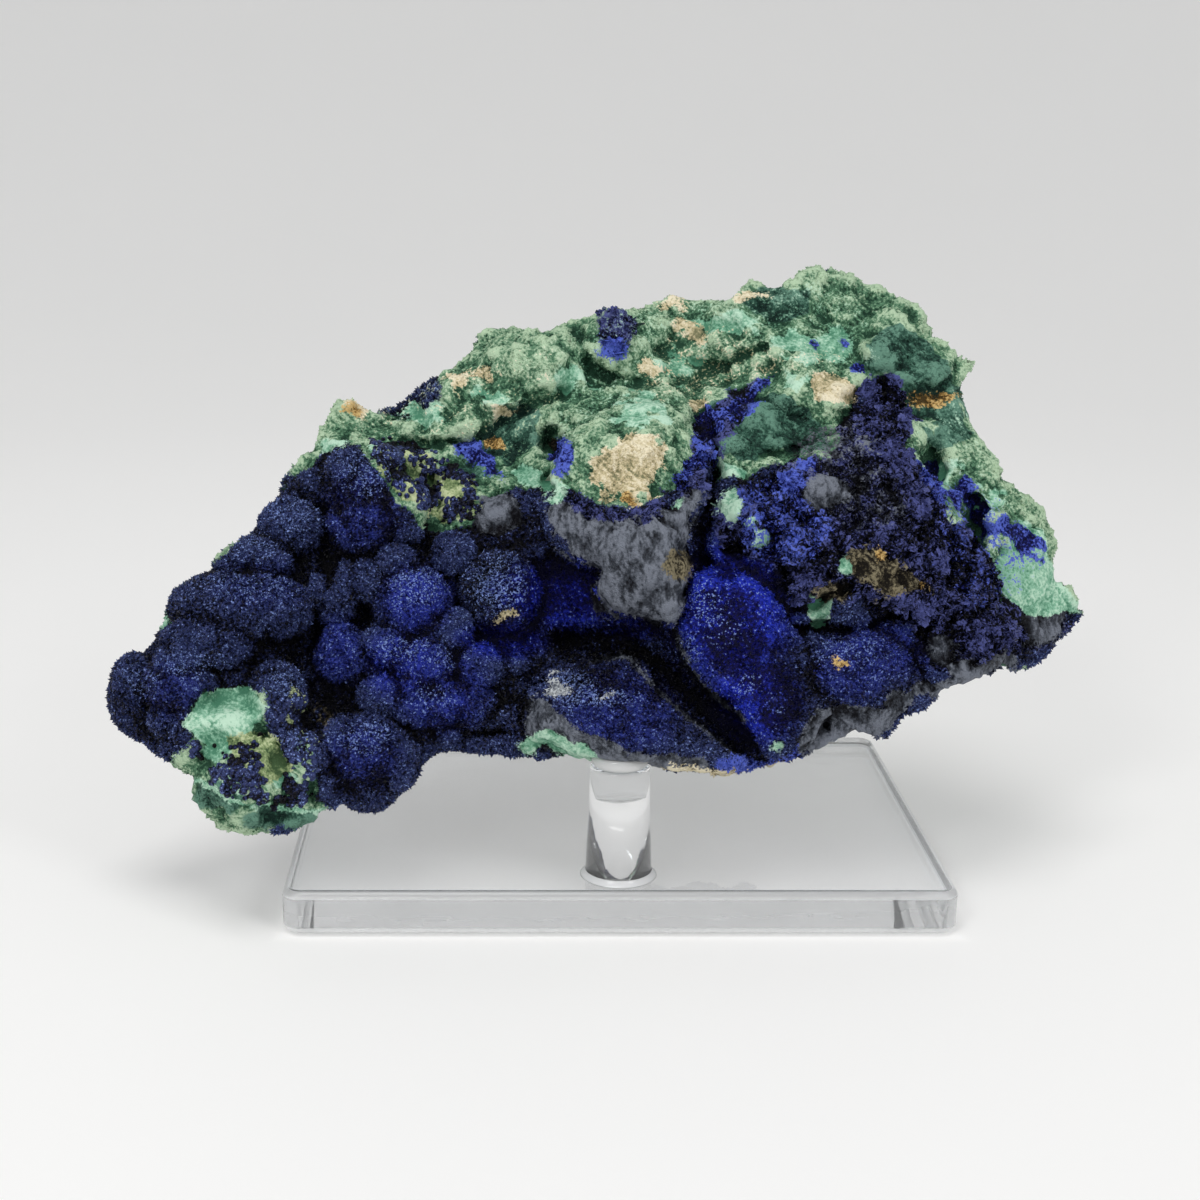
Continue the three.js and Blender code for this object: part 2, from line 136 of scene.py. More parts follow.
LOBES: list[Place] = [
    (-73.5, -18.6, 4.6, 7.5), (-64, -17, 7.5, 6.6), (-59, -8.4, 9, 5.2), (-52, -1.6, 14, 7),
    (-45.6, -20.6, 5.6, 7.8), (-54, -25.5, 7, 4.6), (-52, -36, 10, 10), (-61, -27, 7, 8),
    (-41, -32, 6.5, 7), (-28.6, -30, 8, 7), (-23, -31.6, 6, 6), (-27, -36.6, 6, 5),
    (-49.8, 7.4, 7.4, 4.6), (-42.4, 14.4, 6, 5.6), (-27, 22.6, 8.6, 9), (-27.6, 16, 7, 6.4),
    (-20.6, 19, 5, 6.6), (-18.2, -0.6, 7.4, 7), (-33.6, 1.6, 4.6, 6.6), (-32.6, -10.6, 5, 5.6),
    (-16, -13, 6.4, 5.8), (-22.6, -9.6, 4.6, 5), (-11.6, -20.4, 5.4, 5), (-17.6, -21, 5, 4.2),
    (-24, -19, 4.6, 4.4), (-5.4, -13.4, 5.2, 4.8), (-6.6, -21, 5, 4.4), (-10.6, -7, 4.4, 4),
    (-27.4, 3.6, 4.2, 4.2), (-21.2, 7.4, 3.6, 3.2), (-0.5, 1.5, 8, 8), (-10, 9.2, 3.8, 3.8),
    (50, 15.5, 6.5, 7), (70, -14.5, 11.5, 8.5), (94.5, -8, 7, 7), (68.4, -2.2, 4.4, 4.2),
    (51.5, 34.5, 5, 4.6), (6, 46, 9, 7), (-7.4, 35, 3.4, 3.2), (-12, 40, 4.2, 3.8),
    (22, 53, 3.6, 5),
]

# Where the ground between the lobes lies deeper: (across, up, half width, half height, depth).

RECESSES: list[Place] = [
    (-30, 6, 26, 20, 3.6), (-28, -16, 28, 20, 4.0), (-60, -12, 17, 12, 2.6), (-2, -8, 15, 16, 4.0),
    (10, 1, 12, 9, 3.0), (-3, 13, 10, 7, 3.0), (56, 4, 12, 9, 3.6), (74, -8, 16, 9, 2.6),
    (26, -10, 10, 6, 4.5), (42, -24, 12, 8, 2.5),
]

# Troughs along lines on the front: (half width, depth) and their corners, (across, up).

TROUGHS: list[tuple[Place, tuple[Place, ...]]] = [
    ((4.2, 8.5), ((12, -8.4), (24, -8.6), (31, -13), (38, -20), (46, -27), (53, -32))),
    ((2.4, 7.0), ((42, 24), (40, 17), (39.4, 9), (42, 5))),
    ((1.8, 5.0), ((-38, 16), (-36, 8), (-38.4, -2), (-38, -10), (-38.6, -20), (-37.6, -29))),
    ((1.7, 4.5), ((-14.6, 24), (-13, 17), (-18, 12), (-30, 10.4), (-36, 10))),
    ((1.8, 4.0), ((-57, -14.6), (-50, -12), (-44, -10), (-38, -12))),
    ((1.7, 4.0), ((-27, -23), (-20, -26), (-10, -27), (0, -26))),
    ((2.0, 5.0), ((-9, 6), (-8.6, -3), (-4, -8), (4, -8))),
    ((2.2, 5.0), ((58, -6), (64, -6), (72, -5), (82, -1.6), (88, -2))),
    ((1.6, 4.0), ((56, -8), (57.6, -14), (60, -21), (64, -25))),
    ((1.6, 3.5), ((80, -6), (82.4, -13), (86, -18))),
    ((1.5, 4.0), ((9, 24), (14, 21.6), (18, 23), (17, 31), (12, 36))),
    ((1.6, 3.5), ((42, 24), (41, 33), (38, 42), (42, 47))),
    ((1.4, 3.0), ((53, 29), (60, 30), (67, 29), (69, 36), (71, 42))),
    ((1.4, 3.0), ((-20, 31), (-12, 31), (-4, 33), (4, 38), (12, 42))),
    ((1.2, 2.5), ((14, 55), (17, 47), (24, 43), (33, 45))),
    ((1.3, 2.6), ((30, 50), (36, 48), (44, 47), (52, 50))),
]

# Small knobs on and between the lobes, (across, up, half width, half height).

KNOBS: list[Place] = [
    (-74.5, -16, 3, 2.8), (-66, -12.5, 3.6, 3), (-67, -24, 3.4, 3), (-63, -10.5, 3, 2.6),
    (-56, -14.5, 3.2, 2.6), (-48.5, -13, 3.4, 3), (-45, -28.5, 3, 3), (-40.5, -15, 2.8, 3.4),
    (-38.5, -25, 3, 3.4), (-36.5, -37, 2.8, 2.6), (-33.5, -28, 2.6, 3), (-21.5, -26, 2.6, 2.2),
    (-20.5, -35, 2.4, 2.4), (-32.5, 14, 2.8, 3), (-31.5, 26.5, 3, 3), (-20, 27, 3, 3.4),
    (-19, 14.5, 3, 2.4), (-36.5, 21, 2.6, 3), (-30, -3.5, 2.6, 2.8), (-29.5, -15.5, 3, 2.6),
    (-26, -8, 2.6, 2.6), (-15, -7.5, 2.8, 2.4), (-9.5, -4.5, 2.6, 2.4), (-2, -17, 3, 2.6),
    (2.5, -12.5, 2.8, 2.4), (-10.5, -26, 3, 2.4), (-26, -13.5, 2.4, 2.2), (-18, -17.5, 2.8, 2.4),
    (-1, 17, 5, 4.2), (64, 21.6, 4.4, 3.2), (63, -9, 3, 3), (79, -8, 3.4, 3),
    (87.5, -10, 3.6, 3), (91.5, -14, 3.4, 2.4), (83.5, 8, 4.4, 3), (81.5, 17, 3.6, 3.4),
    (-22.6, 36, 2.6, 2.2), (-18.4, 34, 2.6, 2.2), (-10.4, 39.6, 2.4, 2.2), (-13, 35.5, 2.4, 2),
    (8.6, 50.4, 2.4, 2), (11.4, 48.6, 2.4, 2), (3.4, 49, 2.4, 2), (28, 45, 3.4, 3),
    (36, 53.5, 4, 3), (44, 52, 3.4, 2.4), (75, 50, 4, 3), (83, 45, 3.6, 3),
]


@dataclass(frozen=True)
class Ledge:
    """A broken slab that stands proud of the front and follows it."""

    outline: tuple[Place, ...]
    proud: float
    rounding: float
    root: float = 6.0


LEDGES: dict[str, Ledge] = {
    "grey_flap": Ledge(
        (
            (8, 18.5), (9, 14.5), (11.5, 10), (15, 7.4), (20, 6), (18.4, 2), (20.6, -1.6),
            (24, -3), (29, -3.6), (34, -5.5), (36.4, -2), (36, 2), (37.6, 6), (36, 10),
            (37, 15), (41, 21), (40.6, 30), (36, 37), (29, 41), (21, 39), (14, 34), (9.4, 27),
        ),
        7, 2.2,
    ),
    "bean_lobe": Ledge(
        (
            (4.6, -24), (5.6, -18.6), (10, -14.2), (18, -13), (24.4, -11), (28, -14), (31, -20),
            (39.4, -26), (45, -30.6), (48, -32.6), (44.8, -34.4), (32, -33.4), (22, -33), (12, -30), (6, -28),
        ),
        8, 7.0,
    ),
    "royal_mass": Ledge(
        (
            (35, -6), (35.6, -11), (39, -15.4), (43, -19), (48.5, -24), (54, -31), (62, -28),
            (67, -20), (59, -9), (53, 2), (45, 8), (38.4, 5),
        ),
        4.5, 4.5,
    ),
    "bladed_crust": Ledge(
        (
            (58, -1), (56, 8), (55, 22), (60, 32), (72, 34), (82, 30), (90, 20), (97, 10),
            (98, -2), (88, -4), (78, -1), (68, 3),
        ),
        3.5, 3.0,
    ),
}

# Hollows: the middle and half sizes, both as (across, back, up).

HOLLOWS: list[tuple[Place, Place]] = [
    ((45, -24, 11), (6, 12, 7.5)),
    ((65, -24, -6), (6, 10, 2.6)),
    ((55, 10.5, 58.5), (8, 4.4, 4.4)),
    ((86.5, -2, 28), (3, 8, 5.5)),
    ((94.5, -4, 15), (3, 8, 7)),
    ((-35, -18, 9), (3.4, 9, 7)),
    ((9.4, -4, 32), (3.2, 9, 4)),
    ((8, -14, 22.6), (3.2, 7, 1.8)),
    ((41.5, -12, 20.5), (2.2, 9, 6.5)),
    ((59, -1, 36.5), (3, 3.4, 1.8)),
    ((75.5, -22, -0.8), (2.4, 6, 1.6)),
    ((66, -22, -5.5), (6, 6, 1.8)),
    ((-2.2, -22, -5.6), (6, 5, 1.6)),
    ((12, -16, -17.5), (7, 8, 2.2)),
    ((35.6, 6, 46.6), (2.6, 5, 1.1)),
    ((-38.4, -24, -22), (1.6, 6, 4)),
    ((-37, -20, -7), (1.6, 6, 4)),
]


@dataclass(frozen=True)
class Wave:
    """Seeded noise over points in space, with its length and height in millimetres."""

    length: float
    height: float
    seed: int
    layers: int = 1

    LAYER_SHARE = 0.55
    LAYER_GAIN = 1.6
    RIDGE_SHARPNESS = 1.6
    SEED_MARGIN = 0.1
    DOME_REACH = 0.9
    # Steps between the independent fields that one wave reads.
    HEIGHT_STEP = 5
    JITTER_STEP = 11
    TILT_STEP = 41
    NUMBER_STEP = 77
    # The hash has a factor for each coordinate and the seed, then mixes with (shift, factor).
    AXIS_FACTORS = (374761393, 668265263, 2246822519)
    SEED_FACTOR = 97
    HASH_START = 13
    MIXES = ((13, 1274126177), (15, 2654435769), (16, 1))

    @staticmethod
    def lattice(cell: Array, seed: int) -> Array:
        """Give each whole-number cell a number of its own.

        Args:
            cell: Whole-number cells, with the three coordinates last.
            seed: Chooses one of many independent fields.

        Returns:
            Numbers from 0 to 1, one for each cell.
        """
        whole = cell.astype(np.int64).astype(np.uint32)
        code = np.uint32(seed * Wave.SEED_FACTOR + Wave.HASH_START)
        for axis, factor in enumerate(Wave.AXIS_FACTORS):
            code = code + whole[..., axis] * np.uint32(factor)
        for shift, factor in Wave.MIXES:
            code = (code ^ (code >> np.uint32(shift))) * np.uint32(factor)
        return code.astype(np.float32) / np.float32(2**32 - 1)

    def layer(self, points: Array, number: int) -> Array:
        """Give one layer of smooth noise.

        Args:
            points: Points, with the three coordinates last.
            number: How many times the length is halved.

        Returns:
            Numbers from -1 to 1, one for each point.
        """
        scaled = points / (self.length / 2**number)
        low = np.floor(scaled)
        part = (scaled - low).astype(np.float32)
        part = part * part * part * (part * (part * 6 - 15) + 10)
        total = np.zeros(points.shape[:-1], np.float32)
        for corner in np.ndindex(2, 2, 2):
            weight = np.ones(points.shape[:-1], np.float32)
            for axis in range(3):
                weight *= part[..., axis] if corner[axis] else 1 - part[..., axis]
            total += weight * self.lattice(low + np.array(corner), self.seed + number)
        return total * 2 - 1

    def smooth(self, points: Array, ridged: bool = False) -> Array:
        """Give the noise of all layers, each weaker than the one before.

        Layers partly cancel each other, so several together get a gain.

        Args:
            points: Points, with the three coordinates last.
            ridged: Whether it has sharp ridges and rounded valleys.

        Returns:
            Heights, one for each point.
        """
        total = np.zeros(points.shape[:-1], np.float32)
        shares = [self.LAYER_SHARE**number for number in range(self.layers)]
        for number, share in enumerate(shares):
            noise = self.layer(points, number)
            total += share * (1 - self.RIDGE_SHARPNESS * np.abs(noise) if ridged else noise)
        if ridged:
            return self.height * (np.clip(total / sum(shares), 0, 1) - 0.5)
        gain = self.LAYER_GAIN if self.layers > 1 else 1
        return self.height * (total * (gain / sum(shares)))

    def cells(self, points: Array) -> tuple[Array, Array, Array]:
        """Find the nearest of many scattered seeds, one in each cubic cell.

        Args:
            points: Points, with the three coordinates last.

        Returns:
            Distance to the nearest seed in sides of a cell, that seed's number from 0 to 1, and the
            height from -1 to 1 of ground that slopes its own way round each seed, like broken rock.
        """
        scaled = (points / self.length).astype(np.float32)
        low = np.floor(scaled)
        nearest = np.full(points.shape[:-1], FAR, np.float32)
        number = np.zeros_like(nearest)
        height = np.zeros_like(nearest)
        for step in np.ndindex(3, 3, 3):
            cell = low + (np.array(step, np.float32) - 1)
            away = np.zeros_like(nearest)
            slope = self.lattice(cell, self.seed + self.HEIGHT_STEP) - 0.5
            for axis in range(3):
                jitter = self.lattice(cell, self.seed + self.JITTER_STEP * (axis + 1))
                jitter = jitter * (1 - 2 * self.SEED_MARGIN)
                offset = cell[..., axis] + self.SEED_MARGIN + jitter - scaled[..., axis]
                tilt = self.lattice(cell, self.seed + self.TILT_STEP * (axis + 1)) - 0.5
                away += offset**2
                slope += offset * tilt * 2
            nearer = away < nearest
            number = np.where(nearer, self.lattice(cell, self.seed + self.NUMBER_STEP), number)
            height = np.where(nearer, slope, height)
            nearest = np.where(nearer, away, nearest)
        return np.sqrt(nearest), number, np.clip(height, -1, 1)

    def sloped(self, points: Array) -> Array:
        """Give facets that slope each its own way."""
        return self.height * self.cells(points)[2]

    def stepped(self, points: Array) -> Array:
        """Give flat steps, one for each cell."""
        return self.height * (self.cells(points)[1] - 0.5)

    def domed(self, points: Array) -> Array:
        """Give close-packed domes, one for each cell."""
        near = self.cells(points)[0] / self.DOME_REACH
        return self.height * (np.sqrt(np.maximum(0, 1 - near**2)) - 0.5)


def eased(low: float, high: float, value: Array) -> Array:
    """Rise smoothly from 0 at low to 1 at high."""
    share = np.clip((value - low) / (high - low), 0, 1)
    return share * share * (3 - 2 * share)


def inside_distance(across: Array, up: Array, outline: list[Place] | tuple[Place, ...]) -> Array:
    """Distance to a closed outline on the sheet.

    Args:
        across: Places' coordinate to the right.
        up: Places' coordinate up the sheet.
        outline: The outline's corners.

    Returns:
        The distance, positive inside and negative outside.
    """
    inside = np.zeros(across.shape, bool)
    closed = (*outline, outline[0])
    for (ax, ay), (bx, by) in zip(closed, closed[1:]):
        if ay != by:
            inside ^= ((ay > up) != (by > up)) & (across < (bx - ax) * (up - ay) / (by - ay) + ax)
    distance = line_distance(across, up, closed)
    return np.where(inside, distance, -distance)


def line_distance(across: Array, up: Array, line: tuple[Place, ...]) -> Array:
    """Distance to an open line on the sheet.

    Args:
        across: Places' coordinate to the right.
        up: Places' coordinate up the sheet.
        line: The line's corners.

    Returns:
        The distance, never negative.
    """
    nearest = np.full(across.shape, FAR)
    for (ax, ay), (bx, by) in zip(line, line[1:]):
        edge_x, edge_y = bx - ax, by - ay
        along = ((across - ax) * edge_x + (up - ay) * edge_y) / (edge_x**2 + edge_y**2)
        along = np.clip(along, 0, 1)
        away = (across - ax - along * edge_x) ** 2 + (up - ay - along * edge_y) ** 2
        nearest = np.minimum(nearest, away)
    return np.sqrt(nearest)


class Extent(Enum):
    """How a patch's points are read."""

    SPOT = "spot"
    LINE = "line"
    AREA = "area"


@dataclass(frozen=True)
class Patch:
    """A place on the front where one mineral shows.

    A spot is (across, up, half width, half height), a line has a half width in reach, and an
    area is an outline. The ragged edge wanders by about `ragged` millimetres.
    """

    mineral: Mineral
    extent: Extent
    points: tuple[Place, ...]
    reach: float = 1.0
    ragged: float = 1.0
    strength: float = 1.0

    def inside(self, across: Array, up: Array) -> Array:
        """Give the distance inside the patch.

        Args:
            across: Points' coordinate to the right.
            up: Points' coordinate up the sheet.

        Returns:
            The distance at each point, negative outside the patch.
        """
        if self.extent is Extent.SPOT:
            depth = np.full(across.shape, -FAR)
            for middle_across, middle_up, half_width, half_height in self.points:
                out = np.hypot((across - middle_across) / half_width, (up - middle_up) / half_height)
                depth = np.maximum(depth, (1 - out) * min(half_width, half_height))
            return depth
        if self.extent is Extent.LINE:
            return self.reach - line_distance(across, up, self.points)
        return inside_distance(across, up, self.points)


def spots(mineral: Mineral, *points: Place, ragged: float = 1.0, strength: float = 1.0) -> Patch:
    """Make a patch of round spots."""
    return Patch(mineral, Extent.SPOT, points, ragged=ragged, strength=strength)


def vein(mineral: Mineral, reach: float, *points: Place, ragged: float = 0.8) -> Patch:
    """Make a patch along a line."""
    return Patch(mineral, Extent.LINE, points, reach=reach, ragged=ragged)


def area(mineral: Mineral, *points: Place, ragged: float = 1.0, strength: float = 1.0) -> Patch:
    """Make a patch within an outline."""
    return Patch(mineral, Extent.AREA, points, ragged=ragged, strength=strength)


M = Mineral

PATCHES: list[Patch] = [
    area(
        M.AZURITE,
        (-84, -22), (-82, -12), (-73, -4), (-68.6, 0), (-60.6, 5), (-50.6, 13), (-47, 19),
        (-42.6, 24), (-34.6, 30.6), (-30.2, 31), (-25, 26), (-21.6, 20), (-16.6, 15), (-12.6, 13),
        (-6, 14.5), (-4.6, 19), (0.4, 21.6), (5.4, 22), (8.4, 24.4), (13, 22.6), (17, 21),
        (20, 19), (25, 18), (30, 19.4), (34, 23), (37.4, 29), (40.4, 31), (41.8, 27), (43.8, 24),
        (48.4, 24.4), (53.4, 27), (59.4, 27.6), (66.4, 26.4), (69.4, 31), (67, 35), (72.4, 43),
        (78.4, 44.4), (81.8, 38), (80.4, 31), (86.4, 24), (89.4, 17), (96.4, 10.4), (99, 5),
        (98.8, -2.4), (106.4, -3.6), (120, -2), (120, -8), (108, -12), (94, -19), (79.6, -26),
        (70, -30), (52, -37), (39, -38), (27, -37), (16, -33), (0, -33), (-12, -33), (-16, -40),
        (-24, -44), (-31.6, -46), (-37, -40), (-38, -33), (-37, -28), (-40.6, -27), (-41, -33),
        (-46, -37), (-49, -34), (-47.6, -27), (-46.6, -18), (-60.6, -18), (-61.6, -24), (-63, -30),
        (-68, -33), (-78, -31),
    ),
    area(M.AZURITE, (-26, 44), (-25.4, 37), (-19, 36), (-13, 39), (-13, 44.5), (-20, 46)),
    spots(M.AZURITE, (-30, -44.5, 6, 2), (-42, -47, 6, 1.6)),
    area(
        M.BLADED,
        (57, -2), (55, 8), (53, 24), (58, 29), (66, 28), (72, 43), (79, 45), (83, 36), (81, 29),
        (88, 22), (91, 14), (99, 8), (99, 0), (116, -2), (110, -8), (100, -12), (92, -16),
        (86, -14), (82, -4), (74, -2), (66, 1), ragged=2.0,
    ),
    area(M.BLADED, (43, 26), (38, 28), (38, 36), (44, 40), (50, 44), (53, 44), (48, 36), (44, 30)),
    spots(M.BLADED, (50, 15.5, 7.5, 7.5), (22.4, 53.6, 3.6, 4.8)),
    spots(M.AZURITE, (22.4, 53.6, 3.6, 4.8)),
    area(
        M.FRACTURE,
        (8.6, 19), (10.4, 12), (15, 7.6), (19.6, 6), (18, 2), (20, -2.2), (27.4, -4), (34.4, -5.6),
        (36.6, 0), (36.4, 8), (38, 16), (40, 22), (36, 21), (30, 17), (24, 15.4), (17, 16.4),
        (12, 19), ragged=1.8,
    ),
    area(
        M.FRACTURE,
        (4.6, -24), (5.6, -20), (8.4, -19.4), (11, -22.6), (17, -27), (26, -30), (36, -31.4),
        (42, -31), (41, -34), (30, -34), (18, -33), (6, -29),
    ),
    area(
        M.BLADED,
        (9, 22), (14, 23), (19, 18.6), (25, 17.6), (31, 19), (35, 23), (38, 28), (41, 29),
        (40, 20), (34, 15), (26, 13), (16, 15), (10, 18), ragged=2.4,
    ),
    vein(M.FRACTURE, 0.5, (36.8, 6), (34.4, -5.4), (36.8, -12.4), (40.4, -17.6), (48.2, -23.8), ragged=0.3),
    vein(M.FRACTURE, 0.45, (18, -13), (24.6, -11.2), (29, -17), (39, -26), (46, -31), ragged=0.3),
    spots(M.FRACTURE, (-1, 17, 5, 4.4), (65, 21.6, 4.4, 3), (87.5, -10, 3, 2.6), (91.5, -13.6, 3, 2)),
    area(M.FRACTURE, (62.4, -21.4), (80.2, -21), (76, -27), (70, -28), (62, -30), (58, -31)),
    vein(M.FRACTURE, 1.5, (78, -19.6), (88, -17.6), (101, -12), ragged=1.2),
    area(M.FRACTURE, (104, -2.6), (114.4, -2), (110, -8.4), (104, -9.4)),
    # Painted glints: pale specks that stand for highlights.
    spots(M.FROST, (70.4, 6, 2, 0.6), (11.2, -18, 2.2, 1.5), (20.6, -20.4, 1.6, 0.8), ragged=2.0),
    spots(
        M.BRIGHT,
        (21.8, 50, 3.2, 1.8), (12, 28.6, 2.2, 3.6), (67.8, 50.8, 1.1, 1.1),
        (62.2, 51.6, 0.8, 0.8), (70.6, 46.2, 1.4, 1.4), (63, -14, 1, 1), (54.8, -20.6, 1.6, 1.6),
        (-28, 43, 1.6, 1), (58, 23, 3, 2), (61, 26.6, 2, 1.4),
    ),
    area(M.BRIGHT, (-10, 30), (-6.6, 32.4), (-2, 28), (0.6, 23), (-4, 26)),
    vein(M.BRIGHT, 1.3, (52, 42.8), (47.5, 38), (42, 38.4), (41, 34), (39.6, 29), (35, 24), ragged=2.8),
    vein(M.BRIGHT, 1.0, (44, -33), (52, -32.4), (58.6, -30.6)),
    vein(M.BRIGHT, 1.6, (84, 27), (88, 20), (92, 22), (96, 16), (101, 14), (107, 10), ragged=2.6),
    area(
        M.MINT,
        (-61, -19), (-57, -17.4), (-49, -17.6), (-46.6, -21), (-49, -25), (-51, -29), (-57, -31),
        (-62, -27), (-64, -25),
    ),
    spots(M.MINT, (-59, -30, 3, 1.6), (-50, -32, 4, 2.4), (-45, -36, 3, 2), (-54, -36, 3, 2), ragged=2.0),
    vein(M.MINT, 0.5, (-62, -36), (-54, -40), (-46, -42), (-36, -42), ragged=1.0),
    area(
        M.MINT,
        (98.6, 8), (103, 16), (108, 14), (110.4, 5), (116, -2.6), (106, -3.2), (99.6, 1), ragged=0.7,
    ),
    spots(
        M.MINT,
        (69, 6.6, 1.8, 1.8), (51.4, 12, 2.4, 2), (49.6, 15.6, 1.6, 1.4), (46, 19, 1.8, 3),
        (10.6, 20.4, 1.8, 1.4), (34.6, 19.4, 1.2, 0.8), (63.6, -1.6, 2.4, 3.4), (66.4, 51, 3.4, 3.4),
        (5, 25, 3, 1.6), (12, 22.6, 2, 1), (-19, 30, 2.4, 1.6), (-25, 30, 1.6, 1.2),
        (55, -28.6, 1, 0.8), (-34, 31, 3, 1.2), (-68, -4, 1.6, 2), (8, 23.4, 4, 1.4),
    ),
    spots(
        M.MINT, (28, 38, 5, 3), (36, 47, 5, 2), (44, 55, 7, 2.4), (60, 51, 5, 3), (14, 44, 4, 2),
        (-2, 41, 4, 2), (-16, 37, 4, 2), (88, 25, 2.4, 4), (97, 20, 2.6, 3), (60, 43, 4, 1.6),
        ragged=3.2,
    ),
    area(M.BRIGHT, (46, 10), (47, 24), (58, 25), (66, 18), (64, 8), (54, 6), ragged=1.6, strength=0.5),
    area(M.BRIGHT, (86, 8), (84, 26), (96, 24), (108, 10), (104, 0), (92, -2), ragged=1.6, strength=0.4),
    area(M.FRACTURE, (56, 28), (66, 34), (80, 26), (82, 14), (70, 13), (60, 19), ragged=1.6, strength=0.42),
    area(M.FRACTURE, (-60, -6), (-52, 6), (-40, 8), (-38, 0), (-48, -8), ragged=1.6, strength=0.24),
    area(M.FRACTURE, (56, 28), (58, 34), (70, 36), (76, 30), (70, 27), ragged=1.6, strength=0.5),
    area(
        M.CREAM, (24, 38), (34, 58), (44, 56), (52, 51), (64, 53), (72, 48), (50, 43),
        ragged=2.0, strength=0.36,
    ),
    area(M.CREAM, (-34, 34), (-26, 40), (4, 52), (14, 54), (12, 38), (-10, 32), ragged=2.0, strength=0.3),
    area(
        M.MINT, (-30, 31), (-26, 42), (30, 60), (70, 66), (76, 46), (44, 41), (0, 28),
        ragged=2.0, strength=0.4,
    ),
    area(M.MINT, (80, 30), (92, 46), (100, 24), (110, 8), (98, 4), (88, 18), ragged=2.0, strength=0.38),
    area(M.OLIVE, (-30, 31), (-26, 42), (0, 50), (16, 40), (0, 26), ragged=2.0, strength=0.36),
    area(
        M.DARK_GREEN, (-34, 30), (-26, 42), (30, 60), (70, 66), (94, 44), (44, 41), ragged=2.0, strength=0.36,
    ),
    vein(M.MINT, 1.4, (5, -29.4), (8, -27), (12, -29.6), (17, -31.6), (20, -33.4)),
    vein(M.MINT, 1.0, (42.6, 28), (44.6, 25.6), (47, 25)),
    area(M.DARK_GREEN, (47, 61), (50, 57), (57, 55.4), (62, 58), (61, 62), (54, 63), ragged=0.8),
    area(
        M.DARK_GREEN,
        (72, 50), (80, 56), (88, 49), (93, 41), (93, 33), (86, 30), (84, 36), (78, 45), (73, 44),
        ragged=2.6,
    ),
    area(
        M.DARK_GREEN,
        (40, 40), (48, 41), (56, 40), (64, 36), (66, 30), (56, 29), (46, 27), (43, 31), ragged=2.0,
    ),
    area(M.DARK_GREEN, (-9, 24), (-2, 26), (5, 31), (8, 37), (3, 40), (-6, 34), ragged=2.6),
    spots(M.DARK_GREEN, (-43, -43.6, 9, 2.4), (-57, -39, 5, 3), (51.6, 34.4, 4, 4), (-44, 18, 2.6, 5)),
    area(
        M.OLIVE,
        (-26, 29.6), (-20, 31), (-11, 26.4), (-6, 24), (-4.4, 18), (-8, 15.4), (-14, 17),
        (-20, 20), (-24, 25), ragged=1.4,
    ),
    area(M.OLIVE, (-43, -17), (-41, -20), (-37, -23), (-35, -28), (-40, -28.6), (-43, -24)),
    area(M.OLIVE, (-56, -27), (-50, -26), (-45, -28), (-42, -34), (-47, -37), (-53, -33)),
    area(
        M.CREAM,
        (18.6, 27), (22, 31), (24, 34), (30, 32), (32.6, 28), (32, 24), (29, 20.6), (26, 18.4),
        (22, 20), (19, 23), ragged=2.6,
    ),
    area(M.CREAM, (62, 45.6), (67, 45), (71.8, 41.6), (70.4, 39.2), (62.4, 39.8), ragged=0.6),
    spots(
        M.CREAM,
        (30, 46, 3, 1.4), (37.4, 55, 3, 1.2), (39.4, 53, 2.6, 1.2), (39.4, 39.4, 2.6, 1.4),
        (-28, 38.6, 2.6, 1.6), (1, -3, 1.7, 0.9), (-8.6, 44, 2.4, 1), (-5, 45.6, 2.2, 1.2),
        (0, 38, 2.4, 1.4), (34, 59.4, 3, 1), (49, 60.6, 3, 1.2), (47, -34.4, 3, 1.2),
        ragged=1.6,
    ),
    vein(M.CREAM, 1.6, (34, -34.6), (42, -35.6), (50, -34.8), (59, -32.6)),
    spots(
        M.OCHRE,
        (84.8, 40, 3.2, 1.2), (88.8, 41, 2.2, 1.0), (-2.6, 31.4, 2, 1.6), (75.2, 8.6, 1.2, 1.2),
        (84.4, 2.8, 1.2, 0.8), (67.6, -13, 1.0, 0.8), (-30, 38, 1.6, 1), (25, 20, 1.4, 1.2),
        ragged=1.4,
    ),
    area(M.MATRIX, (69, 8), (72, 11), (76, 9.4), (83, 5), (86, 2), (80, 0), (74, 2), ragged=1.6),
    spots(M.MATRIX, (35, 6.6, 2.6, 3), (66, 1.4, 4, 2), (-36, -24, 2, 3)),
]

# Where dark-blue beads sit on the green ground.

BEADED: list[tuple[Place, ...]] = [
    (
        (-64, -26), (-60, -29), (-53, -29), (-48, -25), (-46, -19), (-40, -19), (-35, -25), (-37, -34),
        (-40, -41), (-48, -42), (-56, -38), (-62, -33),
    ),
    (
        (-27, 32), (-19, 32), (-11, 28), (-6, 26), (-4.4, 18), (-8, 15), (-14, 16.6), (-21, 20),
        (-25, 26),
    ),
]

# Where the druse is a saturated velvety blue: (across, up, half width, half height, strength).

ROYAL_PLACES: list[Place] = [
    (12, 1, 13, 7, 1.0), (26, -5, 7, 3, 0.6), (46, -2, 12, 15, 1.0), (50, -20, 9, 9, 1.0),
    (-17, 0, 7, 7, 0.55), (-20, -13, 8, 7, 0.6), (-33, -10, 5, 7, 0.4), (-12, -18, 9, 8, 0.5),
    (0, -8, 9, 4, 0.9), (-28, 18, 8, 8, 0.35), (-28, -31, 7, 6, 0.35), (24, -22, 12, 8, 0.35),
    (76, -10, 12, 6, 0.4), (70, -14, 8, 6, 0.35), (75, 20, 14, 10, 0.3), (-66, -18, 6, 6, 0.25),
    (-48, 3, 9, 5, 0.15), (58, 12, 8, 8, 0.5),
]
